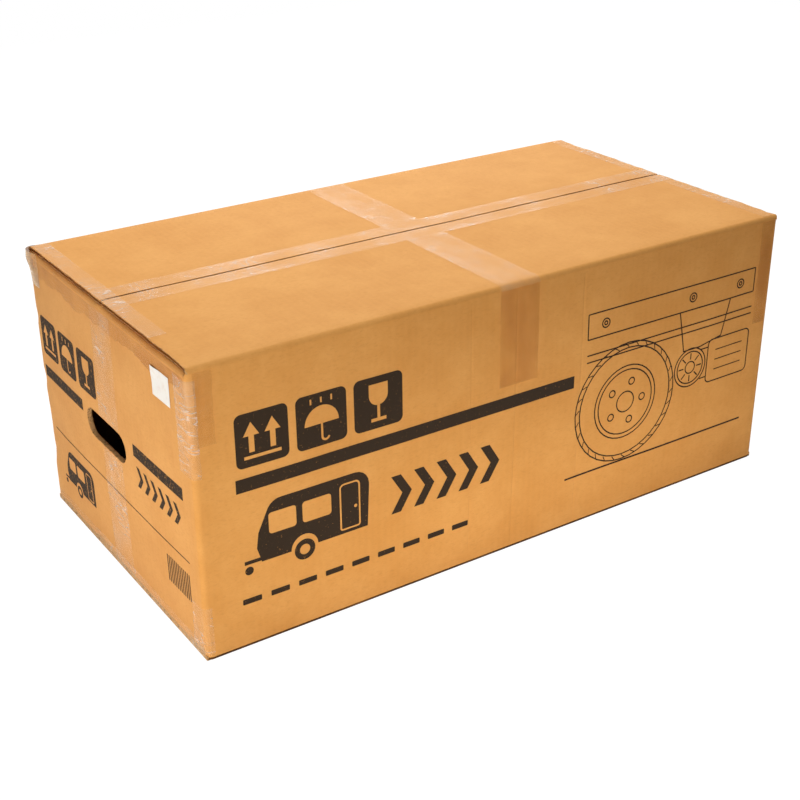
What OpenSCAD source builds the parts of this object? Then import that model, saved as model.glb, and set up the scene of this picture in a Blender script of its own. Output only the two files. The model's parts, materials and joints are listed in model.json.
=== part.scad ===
// Caravan mover packed for sale: a taped corrugated carton with hinged top flaps and hand holes.
// Inside are two mirrored roller drive units and the two cross tubes they clamp to.
// Sizes are in millimetres. Origin at the bottom centre, X along the carton, printed front towards -Y.

/* [Carton] */
// Outside length
carton_l = 720; // [690:1:800]
// Outside width
carton_w = 376; // [360:1:430]
// Outside height
carton_h = 302; // [280:1:350]
// Thickness of the corrugated board
board_t = 5; // [4:0.5:7]
// Gap between the two outer flaps at the seam
seam_gap = 1; // [0.6:0.1:3]
// Distance the outer flaps stop short of each end
flap_setback = 3; // [1:0.5:6]
// Length of the top inner flaps, from the end of the carton
inner_flap_l = 184; // [120:1:200]
// Clearance between pieces of board that move past each other
board_gap = 0.3; // [0.2:0.05:0.8]
// Length of the glued corner tab
glue_tab_l = 35; // [20:1:50]
// Distance of the glued corner tab below the top of the end wall
glue_tab_drop = 16; // [14:1:30]

/* [Hand holes] */
// Width of a hand hole
hand_w = 97; // [80:1:120]
// Height of a hand hole
hand_h = 32; // [28:1:45]
// Height of the hand hole centre above the floor
hand_z = 155; // [120:1:190]
// Distance of the hand hole centre behind the middle of the end
hand_y = 12; // [-20:1:20]
// Width of the cut around the hand flap
hand_kerf = 1; // [0.6:0.1:2]
// How far the hand flaps are folded in
hand_fold = 100; // [60:1:110]

/* [Tape and label] */
// Width of the packing tape
tape_w = 48; // [36:1:60]
// Thickness the tape is drawn with
tape_t = 0.2; // [0.1:0.05:0.4]
// Length of the cross strip that hangs down the front and the back
cross_drop = 108; // [60:1:140]
// Width of the edge tape on the top
edge_top_w = 18; // [10:1:30]
// Width of the edge tape on the ends
edge_end_w = 11; // [6:1:20]
// Width of the corner tape on each face
corner_tape_w = 14; // [8:1:25]
// Width of the bare label
label_w = 36; // [20:1:50]
// Height of the bare label
label_h = 29; // [15:1:34]
// Distance of the label from the front edge
label_in = 36; // [20:1:60]

/* [Packing] */
// Thickness of the base pad
pad_t = 5; // [3:0.5:8]
// Distance of the base pad from the walls
pad_gap = 3; // [1:0.5:8]
// Distance of the drive units from the carton centre line
unit_gap = 55.5; // [50:0.5:70]
// Distance of the bearing plates from the front wall
unit_front_gap = 7; // [4:0.5:15]
// Distance of the rear cross tube from the back wall
tube_back_gap = 5; // [2:0.5:20]

/* [Cross tubes] */
// Outside width of a square tube
tube_w = 40; // [30:1:42]
// Wall of a square tube
tube_wall = 3; // [2:0.5:5]
// Length of a cross tube
tube_l = 640; // [560:5:680]
// Space between the two cross tubes
tube_pitch_gap = 5; // [2:0.5:15]

/* [Side plates] */
// Thickness of a side plate
side_t = 5; // [3:0.5:6]
// Depth from the bearing plate face to the outer side plate
side_in = 20; // [18:0.5:24]
// Clear depth between the two side plates
side_clear = 87; // [80:1:92]
// Length of a side plate
side_l = 221; // [215:1:230]
// Height of a side plate
side_h = 74; // [70:1:76]
// Corner radius of a side plate
plate_round = 3; // [2:0.5:4]
// Corner chamfer of a side plate
side_chamfer = 8; // [4:0.5:10]
// Height of the shoulder over the feet
shoulder_h = 43; // [35:1:50]
// Inset of the left foot
foot_in_l = 20; // [10:1:30]
// Inset of the right foot
foot_in_r = 29; // [20:1:35]
// Radius of the arch between the feet
arch_r = 38; // [25:1:42]
// Depth of the arch centre below the feet
arch_drop = 16; // [12:1:25]
// Position of the arch along the plate
arch_u = 131; // [125:1:140]
// Height of the spring ear above the plate
ear_h = 18; // [14:1:22]
// Width of the spring ear
ear_w = 18; // [14:1:22]
// Position of the beam socket along the plate
socket_u = 38; // [30:1:40]
// Height of the beam socket above the feet
socket_w = 2; // [1:0.5:4]
// Clearance between a beam and its socket
socket_fit = 0.4; // [0.2:0.1:1]
// Distance the beam socket stands out of each plate
socket_out = 4; // [1:0.5:6]

/* [Carriage and engagement] */
// Travel of the carriage towards the wheel
engage_travel = 20; // [12:1:22]
// Thickness of the carriage plates
carriage_t = 5; // [3:0.5:6]
// Running gap between carriage and side plates
carriage_gap = 1; // [0.5:0.1:2]
// Diameter of the slide bolts
slide_bolt_d = 10; // [8:0.5:11]
// Clearance of a slide bolt in its slot, on each side
slot_fit = 0.3; // [0.2:0.05:0.6]
// Position of the upper slide bolt along the plate
bolt_a_u = 67; // [62:1:72]
// Height of the upper slide bolt
bolt_a_w = 62; // [60:0.5:64]
// Position of the lower slide bolt along the plate
bolt_b_u = 143; // [138:1:145]
// Height of the lower slide bolt and the cam shaft
bolt_b_w = 43; // [40:0.5:46]
// Radius of the sleeves on the slide bolts
sleeve_r = 8; // [7:0.5:9]
// Distance of the cam shaft behind the lower slide bolt
cam_dist = 29; // [28:0.5:31]
// Diameter of the cam shaft
cam_shaft_d = 16; // [12:0.5:18]
// Thickness of the cam
cam_t = 20; // [12:1:24]
// Turn of the cam for the whole travel
cam_turn = 90; // [80:1:100]
// Clearance between cam and sleeve
cam_fit = 0.4; // [0.3:0.05:0.8]
// Size of the hexagon on the cam shaft, across flats
cam_hex = 19; // [14:0.5:20]
// Thickness of the hub around the cam shaft
cam_hub_t = 4; // [3:0.5:5]
// Length of the collar behind the inner side plate
cam_collar_l = 6; // [4:0.5:8]
// Reach of the carriage in front of the upper bolt
carriage_reach = 23; // [18:0.5:26]
// Reach of the carriage behind the lower bolt
carriage_tail = 15; // [12:0.5:16]
// Depth of the carriage plates below the lower bolt
carriage_drop = 13; // [11:0.5:14]
// Rise of the carriage over the side plates
carriage_rise = 25; // [23:0.5:26]
// Sloped corner of the carriage plates
carriage_slope = 21; // [14:0.5:24]
// Clearance of the carriage to the beam socket at full travel
carriage_clear = 3; // [2:0.5:6]
// Height of the bolt heads
head_h = 6; // [5:0.5:7]
// Thickness of the washers
washer_h = 2; // [1:0.25:3]
// Spare length of the slots
slot_reserve = 6; // [2:0.5:10]
// Height of the flange on the gear case
flange_h = 10; // [9:0.5:10.5]
// Step of the flange behind the lower bearing post
flange_step = 15; // [13:0.5:18]
// Distance of the flange bolts from the ends of the flange
flange_bolt_in = 10; // [8:0.5:12]
// Running clearance of turning shafts, on the radius
run_fit = 0.05; // [0.02:0.01:0.1]

/* [Return spring] */
// Outside diameter of the return spring
spring_d = 16; // [12:0.5:17]
// Wire diameter of the return spring
wire_d = 2.4; // [1.6:0.1:2.6]
// Distance between the spring and the carriage plate
spring_clear = 3; // [2:0.5:6]
// Distance of the spring pin from the end of the carriage
spring_pin_in = 8; // [7:0.5:10]
// Height of the spring over the side plates
spring_rise = 11; // [9:0.5:12]
// Clearance between the ends of the spring and its pins
spring_pin_gap = 0.3; // [0.2:0.05:0.6]
// Number of curls
spring_curls = 14; // [10:1:16]
// Diameter of the spring pins
spring_pin_d = 6; // [4:0.5:7]

/* [Roller] */
// Outside diameter of the roller
roller_d = 64; // [58:1:66]
// Length of the roller
roller_l = 130; // [120:1:135]
// Number of ribs on the roller
roller_ribs = 12; // [8:1:16]
// Height of the ribs
rib_h = 2.6; // [1.5:0.1:4]
// Width of the ribs
rib_w = 6; // [3:0.5:8]
// Diameter of the roller shaft
roller_shaft_d = 18; // [14:0.5:22]
// Position of the roller along the unit
roller_u = 28; // [26:0.5:32]
// Height of the roller over the feet
roller_w = 133; // [132:0.5:138]
// Space between the roller and the plates at its ends
roller_end_gap = 3; // [2:0.5:5]
// Thickness of the bearing plate
bearing_t = 6; // [4:0.5:8]
// Diameter of the three posts of the bearing plate
post_d = 11; // [8:0.5:12]
// Space between the roller and the posts
post_clear = 10; // [9:0.5:14]
// Rim of the bearing plate around its posts
post_rim = 2; // [1:0.5:4]
// Rim of the bearing plate around the shaft
bearing_rim = 6; // [4:0.5:8]
// Space beyond the ends of the roller shaft
shaft_end_gap = 1; // [0.5:0.25:2]

/* [Gears] */
// Gear module
gear_m = 2; // [1.9:0.02:2]
// Teeth of the roller gear
roller_teeth = 38; // [36:1:38]
// Teeth of the idler gear
idler_teeth = 32; // [31:1:34]
// Teeth of the drive pinion
pinion_teeth = 18; // [17:1:18]
// Width of the gears
gear_w = 18; // [12:1:20]
// Thinning of the teeth for backlash
backlash = 0.15; // [0.1:0.01:0.3]
// Diameter of the idler axle
idler_axle_d = 16; // [12:0.5:20]

/* [Gear case and motor] */
// Wall of the gear case
case_wall = 5; // [4:0.5:7]
// Depth of the gear case behind its front wall
case_depth = 31; // [29:0.5:36]
// Thickness of the case cover
case_cover_t = 5; // [3:0.5:7]
// Space between gears and case
gear_gap = 5; // [3:0.5:6]
// Diameter of the case screws
case_screw_d = 6; // [4:0.5:6]
// Space around the tips of the gears
gear_clear = 2; // [1.5:0.25:4]
// Corner radius of the gear case at the motor
case_round = 12; // [10:0.5:16]
// Radius of the foot lobe of the gear case
case_foot_r = 18; // [14:0.5:22]
// Radius of the screw lugs
lug_r = 7; // [5:0.5:8]
// Distance the lug centres stand out of the case
lug_step = 3; // [1:0.5:5]
// Diameter of the motor shaft
motor_shaft_d = 16; // [12:0.5:17]
// Length of the motor shaft inside the motor
motor_shaft_in = 20; // [15:1:30]
// Depth of the bearing boss on the motor
motor_boss_l = 3; // [1:0.5:4]
// Rim around the idler axle that spaces the idler from the case
axle_rim = 4; // [2:0.5:6]
// Corner radius of the motor cover
cover_round = 7; // [5:0.5:10]
// Height of the foot lobe of the case below the roller axis
case_foot = 38; // [34:1:42]
// Position of the motor along the unit
motor_u = 145.5; // [143.5:0.5:146]
// Height of the motor over the feet
motor_w = 153.5; // [150:0.5:156]
// Diameter of the motor
motor_d = 76; // [64:1:78]
// Length of the motor
motor_l = 97; // [80:1:98]
// Width of the motor cover
motor_cover_l = 89; // [86:1:92]
// Height of the motor cover
motor_cover_h = 87; // [84:1:90]
// Depth of the motor cover
motor_cover_d = 104; // [102:1:110]
// Wall of the covers
cover_wall = 2.5; // [1.5:0.5:3]
// Length of the motor end cap
end_cap_l = 51; // [40:1:55]
// Width of the rim on the motor end cap
end_rim_l = 12; // [8:1:16]
// Step of the motor end cap inside the cover outline
end_step = 4; // [2:0.5:8]

/* [Hidden] */
$fn = 48;

// Overlap used only where a cut runs out of a solid
cut = 1;
half_l = carton_l / 2;
half_w = carton_w / 2;
in_half_l = half_l - board_t;
in_half_w = half_w - board_t;
flap_half_l = half_l - flap_setback;

// Levels of the carton: outer flaps, inner flaps and walls
outer_z = carton_h - board_t;
inner_top_z = outer_z - board_gap;
inner_z = inner_top_z - board_t;
end_top_z = inner_z;
floor_z = 2 * board_t;
end_wall_h = end_top_z - floor_z;
side_wall_h = outer_z - board_t;
pad_top_z = floor_z + pad_t;
hand_top = hand_z + hand_h / 2;
// The tape on the walls ends below the folds, so that an opened flap can hang past it
fold_clear = 10 * tape_t;
hand_r = hand_h / 2;

// Depth stations of a drive unit, from the face of the bearing plate
unit_y = unit_front_gap - in_half_w;
roller_v = bearing_t + roller_end_gap;
case_v = roller_v + roller_l + roller_end_gap;
gear_v = case_v + case_wall + gear_gap;
case_rim_v = case_v + case_wall + case_depth;
side_v2 = side_in + side_t + side_clear;
side_end_v = side_v2 + side_t;
carriage_v1 = side_in + side_t + carriage_gap;
carriage_v2 = side_v2 - carriage_gap - carriage_t;
socket_wall = tube_wall;
socket_size = tube_w + 2 * socket_fit + 2 * socket_wall;

// Slide bolts, slots and carriage outline
bolt_r = slide_bolt_d / 2;
slot_r = bolt_r + slot_fit;
slot_l = engage_travel + slot_reserve;
washer_r = slide_bolt_d;
carriage_low = bolt_a_w - slide_bolt_d;
carriage_left = bolt_a_u - carriage_reach;
carriage_step = socket_u + socket_size + engage_travel + carriage_clear;
carriage_right = bolt_b_u + carriage_tail;
carriage_foot = bolt_b_w - carriage_drop;
carriage_top = side_h + carriage_rise;
shelf_v = case_v - carriage_v1;

// Cam
cam_u = bolt_b_u + cam_dist;
cam_rate = engage_travel / (cam_turn * PI / 180);
cam_hub_r = cam_shaft_d / 2 + cam_hub_t;
cam_v = (side_in + side_end_v) / 2 - cam_t / 2;
cam_over = 6;
cam_end_v = side_end_v + cam_collar_l;
hex_l = side_in - bearing_t;

// Return spring between a pin on the carriage and a pin on the ear of the outer side plate
spring_w = side_h + spring_rise;
spring_pin_a = carriage_right - spring_pin_in;
spring_pin_b = side_l - ear_w / 2;
spring_v = carriage_v1 + carriage_t + spring_d / 2 + spring_clear;
spring_r = (spring_d - wire_d) / 2;
spring_from = spring_pin_a + spring_pin_d / 2 + spring_pin_gap;
spring_to = spring_pin_b - spring_pin_d / 2 - spring_pin_gap;
spring_end = wire_d;
spring_rings = 8;
spring_lead = 6;
spring_steps = spring_curls * spring_rings;
spring_pitch = (spring_to - spring_from - 2 * spring_end) / (spring_curls);

// Gears: the idler sits where its two centre distances meet
roller_pitch_r = gear_m * roller_teeth / 2;
idler_pitch_r = gear_m * idler_teeth / 2;
pinion_pitch_r = gear_m * pinion_teeth / 2;
reach_a = roller_pitch_r + idler_pitch_r;
reach_b = idler_pitch_r + pinion_pitch_r;
roller_at = [roller_u, roller_w];
motor_at = [motor_u, motor_w];
span = norm(motor_at - roller_at);
span_dir = (motor_at - roller_at) / span;
span_side = [-span_dir[1], span_dir[0]];
foot_a = (reach_a * reach_a - reach_b * reach_b + span * span) / (2 * span);
foot_side = sqrt(max(0, reach_a * reach_a - foot_a * foot_a));
idler_at = roller_at + span_dir * foot_a + span_side * foot_side;
mesh_a = atan2(idler_at[1] - roller_at[1], idler_at[0] - roller_at[0]);
mesh_b = atan2(motor_at[1] - idler_at[1], motor_at[0] - idler_at[0]);
idler_phase = mesh_a + 180 - (180 - roller_teeth * mesh_a) / idler_teeth;
pinion_phase = mesh_b + 180 - (180 - idler_teeth * (mesh_b - idler_phase)) / pinion_teeth;
pressure = 20;
tip_share = 0.95;
root_share = 1.25;
flank_steps = 5;

// Gear case
roller_shaft_r = roller_shaft_d / 2;
case_r = roller_pitch_r + gear_m + case_wall + gear_clear;
case_half_l = motor_cover_l / 2;
case_half_h = motor_cover_h / 2;
lug_out = case_r + lug_step;
lug_turns = [105, 180, 235];
lug_far = [motor_u + case_half_l - case_round, motor_w + case_half_h - case_round];
lug_low = [motor_u + case_half_l - case_round, motor_w - case_half_h + case_round];
pinion_shaft_r = motor_shaft_d / 2;
pinion_shaft_in = motor_shaft_in;
screw_r = case_screw_d / 2;
screw_head_r = case_screw_d * 0.8;
screw_head_h = case_screw_d * 0.7;
flange_u = carriage_left + carriage_slope + flange_step;
flange_end = carriage_right - carriage_slope / 2;
flange_bolt_w = carriage_top + flange_h / 2;
bolt_row = [flange_u + flange_bolt_in, (flange_u + flange_end) / 2, flange_end - flange_bolt_in];

// Bearing plate posts stand clear of the roller
post_r = post_d / 2;
post_reach = roller_d / 2 + post_r + post_clear;
post_turns = [35, -35];
post_far = [roller_u + roller_d, roller_w];

// Colours
kraft = [0.82, 0.62, 0.40];
kraft_in = [0.76, 0.58, 0.38];
tape_tint = [0.90, 0.74, 0.55];
paper_white = [0.95, 0.95, 0.94];
black_coat = [0.10, 0.10, 0.11];
zinc = [0.72, 0.73, 0.75];
cast_alu = [0.66, 0.67, 0.69];
bare_alu = [0.80, 0.81, 0.83];
gear_steel = [0.52, 0.53, 0.55];
black_plastic = [0.06, 0.06, 0.07];
motor_black = [0.14, 0.14, 0.15];

// Point on a circle
function polar(r, a) = [r * cos(a), r * sin(a)];
// Unit vector
function unit(v) = v / norm(v);
// Points of a fillet at corner b between a and c
function fillet(a, b, c, r, n) =
    let (
        ua = unit(a - b),
        uc = unit(c - b),
        half = acos(ua * uc) / 2,
        o = b + unit(ua + uc) * (r / sin(half)),
        pa = b + ua * (r / tan(half)) - o,
        pc = b + uc * (r / tan(half)) - o,
        a0 = atan2(pa[1], pa[0]),
        da = ((atan2(pc[1], pc[0]) - a0 + 540) % 360) - 180
    )
    [for (i = [0 : n]) o + polar(r, a0 + da * i / n)];
// Outline with every corner filleted
function rounded(p, r, n = 4) =
    let (k = len(p))
    [for (i = [0 : k - 1]) each fillet(p[(i + k - 1) % k], p[i], p[(i + 1) % k], r, n)];

// Polar angle of an involute at radius r
function involute(rb, r) =
    let (t = sqrt(max(0, (r / rb) * (r / rb) - 1)))
    t * 180 / PI - atan(t);
// Outline of a spur gear with one tooth centred on angle zero
function gear_outline(teeth) =
    let (
        rp = gear_m * teeth / 2,
        rb = rp * cos(pressure),
        ra = rp + tip_share * gear_m,
        rr = rp - root_share * gear_m,
        rs = max(rb, rr),
        wide = 90 / teeth - backlash / rp * 180 / PI + involute(rb, rp),
        flank = [for (i = [0 : flank_steps]) rs + (ra - rs) * i / flank_steps],
        root = wide - involute(rb, rs)
    )
    [for (k = [0 : teeth - 1])
        let (c = k * 360 / teeth)
        each concat(
            [polar(rr, c - root)],
            [for (i = [0 : flank_steps]) polar(flank[i], c - wide + involute(rb, flank[i]))],
            [for (i = [flank_steps : -1 : 0]) polar(flank[i], c + wide - involute(rb, flank[i]))],
            [polar(rr, c + root)]
        )];

// Radius of the cam at body angle a, where 180 faces the sleeve at rest
function cam_radius(a) =
    let (
        pitch = cam_dist + cam_rate * (180 - a) * PI / 180,
        lean = atan(cam_rate / max(pitch, 1))
    )
    pitch - (sleeve_r + cam_fit) / cos(lean);

// Centre line of the return spring
function ease(s) = s * s * (3 - 2 * s);
function spring_radius(i) =
    spring_r * ease(min(1, min(i, spring_steps - i) / spring_lead));
function spring_path() = concat(
    [[spring_from, 0, 0]],
    [for (i = [0 : spring_steps])
        let (p = polar(spring_radius(i), i * 360 / spring_rings))
        [spring_from + spring_end + i * spring_pitch / spring_rings, p[0], p[1]]],
    [[spring_to, 0, 0]]
);
function min_gap(path, d, skip) =
    min([for (i = [0 : len(path) - 1]) for (j = [i + skip : 1 : len(path) - 1])
        norm(path[i] - path[j])]) - d;
function tangent(path, i) =
    unit(path[min(i + 1, len(path) - 1)] - path[max(i - 1, 0)]);
// Ring of a swept tube, kept from twisting by the direction of the coil axis
function tube_ring(path, i, r, sides) =
    let (
        t = tangent(path, i),
        inner = max(1, min(i, len(path) - 2)),
        side = unit(cross(tangent(path, inner), [1, 0, 0])),
        n = unit(cross(t, side)),
        b = cross(t, n)
    )
    [for (k = [0 : sides - 1]) path[i] + r * (cos(k * 360 / sides) * n + sin(k * 360 / sides) * b)];

// Plate drawn along the unit and upward, given a depth
module in_depth(v, depth) {
    translate([0, v + depth, 0])
        rotate([90, 0, 0])
            linear_extrude(depth) children();
}

// Round bar across the depth
module rod(at, r, v, depth) {
    translate([at[0], v, at[1]])
        rotate([-90, 0, 0])
            cylinder(r = r, h = depth);
}

// Hexagon bar across the depth
module hex_rod(at, flats, v, depth) {
    translate([at[0], v, at[1]])
        rotate([-90, 0, 0])
            cylinder(d = flats / cos(30), h = depth, $fn = 6);
}

// Outline of a slot between two points on a level
module slot_outline(from_u, to_u, w, r) {
    translate([from_u, w]) circle(r);
    translate([to_u, w]) circle(r);
    translate([from_u, w - r]) square([to_u - from_u, 2 * r]);
}

// Puts a drive unit on the base pad: side 1 on the right, -1 mirrored on the left
module at_unit(side) {
    if (side > 0)
        translate([unit_gap, unit_y, pad_top_z]) children();
    else
        mirror([1, 0, 0])
            translate([unit_gap, unit_y, pad_top_z]) children();
}

// Puts a piece drawn for the right end on either end
module at_end(side) {
    if (side > 0)
        children();
    else
        mirror([1, 0, 0]) children();
}

// Puts a piece drawn for the back on either long side
module at_long(side) {
    if (side > 0)
        children();
    else
        mirror([0, 1, 0]) children();
}

// Outline of the hand hole: a slot with round ends, drawn in Y and Z
module hand_outline(grow) {
    slot_outline(hand_r - hand_w / 2, hand_w / 2 - hand_r, 0, hand_r - grow);
}

// Long wall, standing on the bottom outer flap
module long_panel(side) {
    color(kraft)
        at_long(side)
            translate([-half_l, in_half_w, board_t])
                cube([carton_l, board_t, side_wall_h]);
}

// End wall with its hand hole; the left one carries the glued tab
module end_panel(side) {
    color(kraft)
        at_end(side) {
            difference() {
                translate([in_half_l, -in_half_w, floor_z])
                    cube([board_t, 2 * in_half_w, end_wall_h]);
                translate([in_half_l - cut, hand_y, hand_z])
                    rotate([90, 0, 90])
                        linear_extrude(board_t + 2 * cut) hand_outline(0);
            }
            if (side < 0)
                translate([in_half_l - glue_tab_l, -in_half_w, floor_z])
                    cube([glue_tab_l, board_t / 2, end_wall_h - glue_tab_drop]);
        }
}

// Bottom inner flap, under the base pad
module bottom_inner_flap(side) {
    color(kraft_in)
        at_end(side)
            translate([half_l - inner_flap_l, -in_half_w, board_t])
                cube([inner_flap_l, 2 * in_half_w, board_t]);
}

// Bottom outer flap with a pressed-in track for the tape
module bottom_outer_flap(side) {
    color(kraft)
        at_long(side)
            difference() {
                translate([-half_l, seam_gap / 2, 0])
                    cube([carton_l, half_w - seam_gap / 2, board_t]);
                translate([-half_l - cut, -cut, -cut])
                    cube([carton_l + 2 * cut, tape_w / 2 + cut, tape_t + cut]);
            }
}

// Top inner flap, folded over the end wall, with its outer corner eased
module top_inner_flap(side) {
    color(kraft_in)
        at_end(side)
            in_depth(-in_half_w + board_gap, 2 * (in_half_w - board_gap))
                polygon([
                    [half_l - inner_flap_l, inner_z],
                    [half_l, inner_z],
                    [half_l - board_t, inner_top_z],
                    [half_l - inner_flap_l, inner_top_z]
                ]);
}

// Top outer flap, mitred along its fold
module top_outer_flap(side) {
    color(kraft)
        at_long(side)
            translate([-flap_half_l, 0, 0])
                rotate([90, 0, 90])
                    linear_extrude(2 * flap_half_l)
                        polygon([
                            [half_w, outer_z],
                            [half_w - board_t, carton_h],
                            [seam_gap / 2, carton_h],
                            [seam_gap / 2, outer_z]
                        ]);
}

// Hand flap, hinged along the top of the hand hole and folded in
module hand_flap(side) {
    color(kraft_in)
        at_end(side)
            translate([in_half_l, hand_y, hand_top - hand_kerf])
                rotate([0, hand_fold, 0])
                    translate([0, 0, hand_kerf - hand_h / 2])
                        rotate([90, 0, 90])
                            linear_extrude(board_t) hand_outline(hand_kerf);
}

// Tape on a top outer flap: half of the seam strip, the cross strip and both edge strips
module flap_tape(side) {
    color(tape_tint)
        at_long(side)
            translate([0, 0, carton_h])
                linear_extrude(tape_t)
                    union() {
                        translate([-flap_half_l, seam_gap / 2])
                            square([2 * flap_half_l, tape_w / 2 - seam_gap / 2]);
                        translate([-tape_w / 2, seam_gap / 2])
                            square([tape_w, half_w - board_t - seam_gap / 2]);
                        for (x = [-flap_half_l, flap_half_l - edge_top_w])
                            translate([x, seam_gap / 2])
                                square([edge_top_w, half_w - board_t - seam_gap / 2]);
                    }
}

// Outline of the tape on an end wall, drawn in Y and Z; the left end has the corner strip too
module end_tape_outline(side) {
    if (side < 0)
        translate([-half_w, board_t])
            square([corner_tape_w, end_top_z - board_t]);
    translate([-half_w, end_top_z - edge_end_w])
        square([carton_w, edge_end_w]);
    translate([-tape_w / 2, hand_z + hand_r])
        square([tape_w, end_top_z - hand_z - hand_r]);
    translate([-tape_w / 2, tape_t])
        square([tape_w, hand_z - hand_r - tape_t]);
    translate([-half_w, board_t])
        square([carton_w, edge_end_w]);
}

// Tape on the walls and the bottom: end strips, hanging cross strips, corner strip, bottom seam
module carton_tape() {
    color(tape_tint) {
        for (side = [-1, 1])
            at_end(side)
                translate([half_l, 0, 0])
                    rotate([90, 0, 90])
                        linear_extrude(tape_t) end_tape_outline(side);
        for (side = [-1, 1])
            at_long(side)
                translate([-tape_w / 2, half_w, carton_h - cross_drop])
                    cube([tape_w, tape_t, cross_drop - board_t - fold_clear]);
        translate([-half_l, -half_w - tape_t, board_t])
            cube([corner_tape_w, tape_t, side_wall_h - fold_clear]);
        translate([-half_l, -tape_w / 2, 0])
            cube([carton_l, tape_w, tape_t]);
    }
}

// Bare sticker on the left end
module bare_label() {
    color(paper_white)
        translate([-half_l - tape_t, label_in - half_w, end_top_z - edge_end_w - board_gap - label_h])
            cube([tape_t, label_w, label_h]);
}

// Loose board under the contents
module base_pad() {
    color(kraft_in)
        translate([-in_half_l + pad_gap, -in_half_w + pad_gap, floor_z])
            cube([2 * (in_half_l - pad_gap), 2 * (in_half_w - pad_gap), pad_t]);
}

// Square cross tube lying on the pad: row 0 at the back wall, row 1 in front of it
module cross_tube(row) {
    color(black_coat)
        translate([-tube_l / 2, in_half_w - tube_back_gap - tube_w - row * (tube_w + tube_pitch_gap), pad_top_z])
            difference() {
                cube([tube_l, tube_w, tube_w]);
                translate([-cut, tube_wall, tube_wall])
                    cube([tube_l + 2 * cut, tube_w - 2 * tube_wall, tube_w - 2 * tube_wall]);
            }
}

// Outline of a side plate with its feet, arch and spring ear
module side_outline() {
    difference() {
        polygon(rounded([
            [foot_in_l, 0],
            [side_l - foot_in_r, 0],
            [side_l, shoulder_h],
            [side_l, side_h + ear_h],
            [side_l - ear_w, side_h + ear_h],
            [side_l - ear_w - ear_h / 2, side_h],
            [side_chamfer, side_h],
            [0, side_h - side_chamfer],
            [0, shoulder_h]
        ], plate_round));
        translate([arch_u, -arch_drop]) circle(arch_r);
        translate([socket_u, socket_w]) square(socket_size);
        slot_outline(bolt_a_u - slot_l, bolt_a_u + slot_fit, bolt_a_w, slot_r);
        slot_outline(bolt_b_u - slot_l, bolt_b_u + slot_fit, bolt_b_w, slot_r);
    }
}

// Side plate: the outer one holds the spring pin
module side_plate(side, outer) {
    color(black_coat)
        at_unit(side) {
            difference() {
                in_depth(outer ? side_in : side_v2, side_t) side_outline();
                rod([cam_u, bolt_b_w], cam_shaft_d / 2 + run_fit, -cut, case_rim_v);
            }
            if (outer)
                rod([spring_pin_b, spring_w], spring_pin_d / 2, side_in + side_t,
                    spring_v + spring_d / 2 - side_in - side_t);
        }
}

// Square socket for a cross tube, welded through both side plates
module beam_socket(side) {
    color(black_coat)
        at_unit(side)
            in_depth(side_in - socket_out, side_end_v - side_in + 2 * socket_out)
                difference() {
                    translate([socket_u, socket_w]) square(socket_size);
                    translate([socket_u + socket_wall, socket_w + socket_wall])
                        square(socket_size - 2 * socket_wall);
                }
}

// Outline of a carriage plate
module carriage_outline() {
    polygon([
        [carriage_left, carriage_low],
        [carriage_step, carriage_low],
        [carriage_step, carriage_foot],
        [carriage_right, carriage_foot],
        [carriage_right, side_h],
        [carriage_right - carriage_slope / 2, carriage_top],
        [carriage_left + carriage_slope, carriage_top],
        [carriage_left, carriage_top - carriage_slope]
    ]);
}

// Carriage: two plates, a shelf over them and a flange bolted to the gear case
module carriage(side) {
    shelf_u = carriage_left + carriage_slope;
    shelf_l = flange_end - shelf_u;
    color(black_coat)
        at_unit(side) {
            difference() {
                union() {
                    in_depth(carriage_v1, carriage_t) carriage_outline();
                    in_depth(carriage_v2, carriage_t) carriage_outline();
                    translate([shelf_u, carriage_v1, carriage_top - carriage_t])
                        cube([shelf_l, shelf_v, carriage_t]);
                    translate([flange_u, case_v - carriage_t, carriage_top - carriage_t])
                        cube([flange_end - flange_u, carriage_t, flange_h + carriage_t]);
                    rod([spring_pin_a, spring_w], spring_pin_d / 2, carriage_v1 + carriage_t,
                        spring_v + spring_d / 2 - carriage_v1 - carriage_t);
                }
                rod([bolt_a_u, bolt_a_w], bolt_r + run_fit, 0, case_v);
                rod([bolt_b_u, bolt_b_w], bolt_r + run_fit, 0, case_v);
                for (u = bolt_row)
                    rod([u, flange_bolt_w], screw_r + run_fit, case_v - carriage_t - cut, carriage_t + 2 * cut);
            }
        }
}

// Slide bolts with heads, washers and sleeves, and the flange bolts into the gear case
module slide_bolts(side) {
    color(zinc)
        at_unit(side) {
            for (at = [[bolt_a_u, bolt_a_w], [bolt_b_u, bolt_b_w]]) {
                rod(at, bolt_r, side_in - washer_h - head_h / 2, side_end_v - side_in + 2 * washer_h + head_h);
                rod(at, sleeve_r, carriage_v1 + carriage_t, carriage_v2 - carriage_v1 - carriage_t);
                rod(at, washer_r, side_in - washer_h, washer_h - board_gap);
                rod(at, washer_r, side_end_v + board_gap, washer_h - board_gap);
                hex_rod(at, slide_bolt_d * 1.7, side_in - washer_h - head_h, head_h);
                hex_rod(at, slide_bolt_d * 1.7, side_end_v + washer_h, head_h);
            }
            for (u = bolt_row) {
                rod([u, flange_bolt_w], screw_r, case_v - carriage_t - head_h / 2, carriage_t + head_h / 2 + case_wall);
                hex_rod([u, flange_bolt_w], case_screw_d * 1.6, case_v - carriage_t - screw_head_h, screw_head_h);
            }
        }
}

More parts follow.
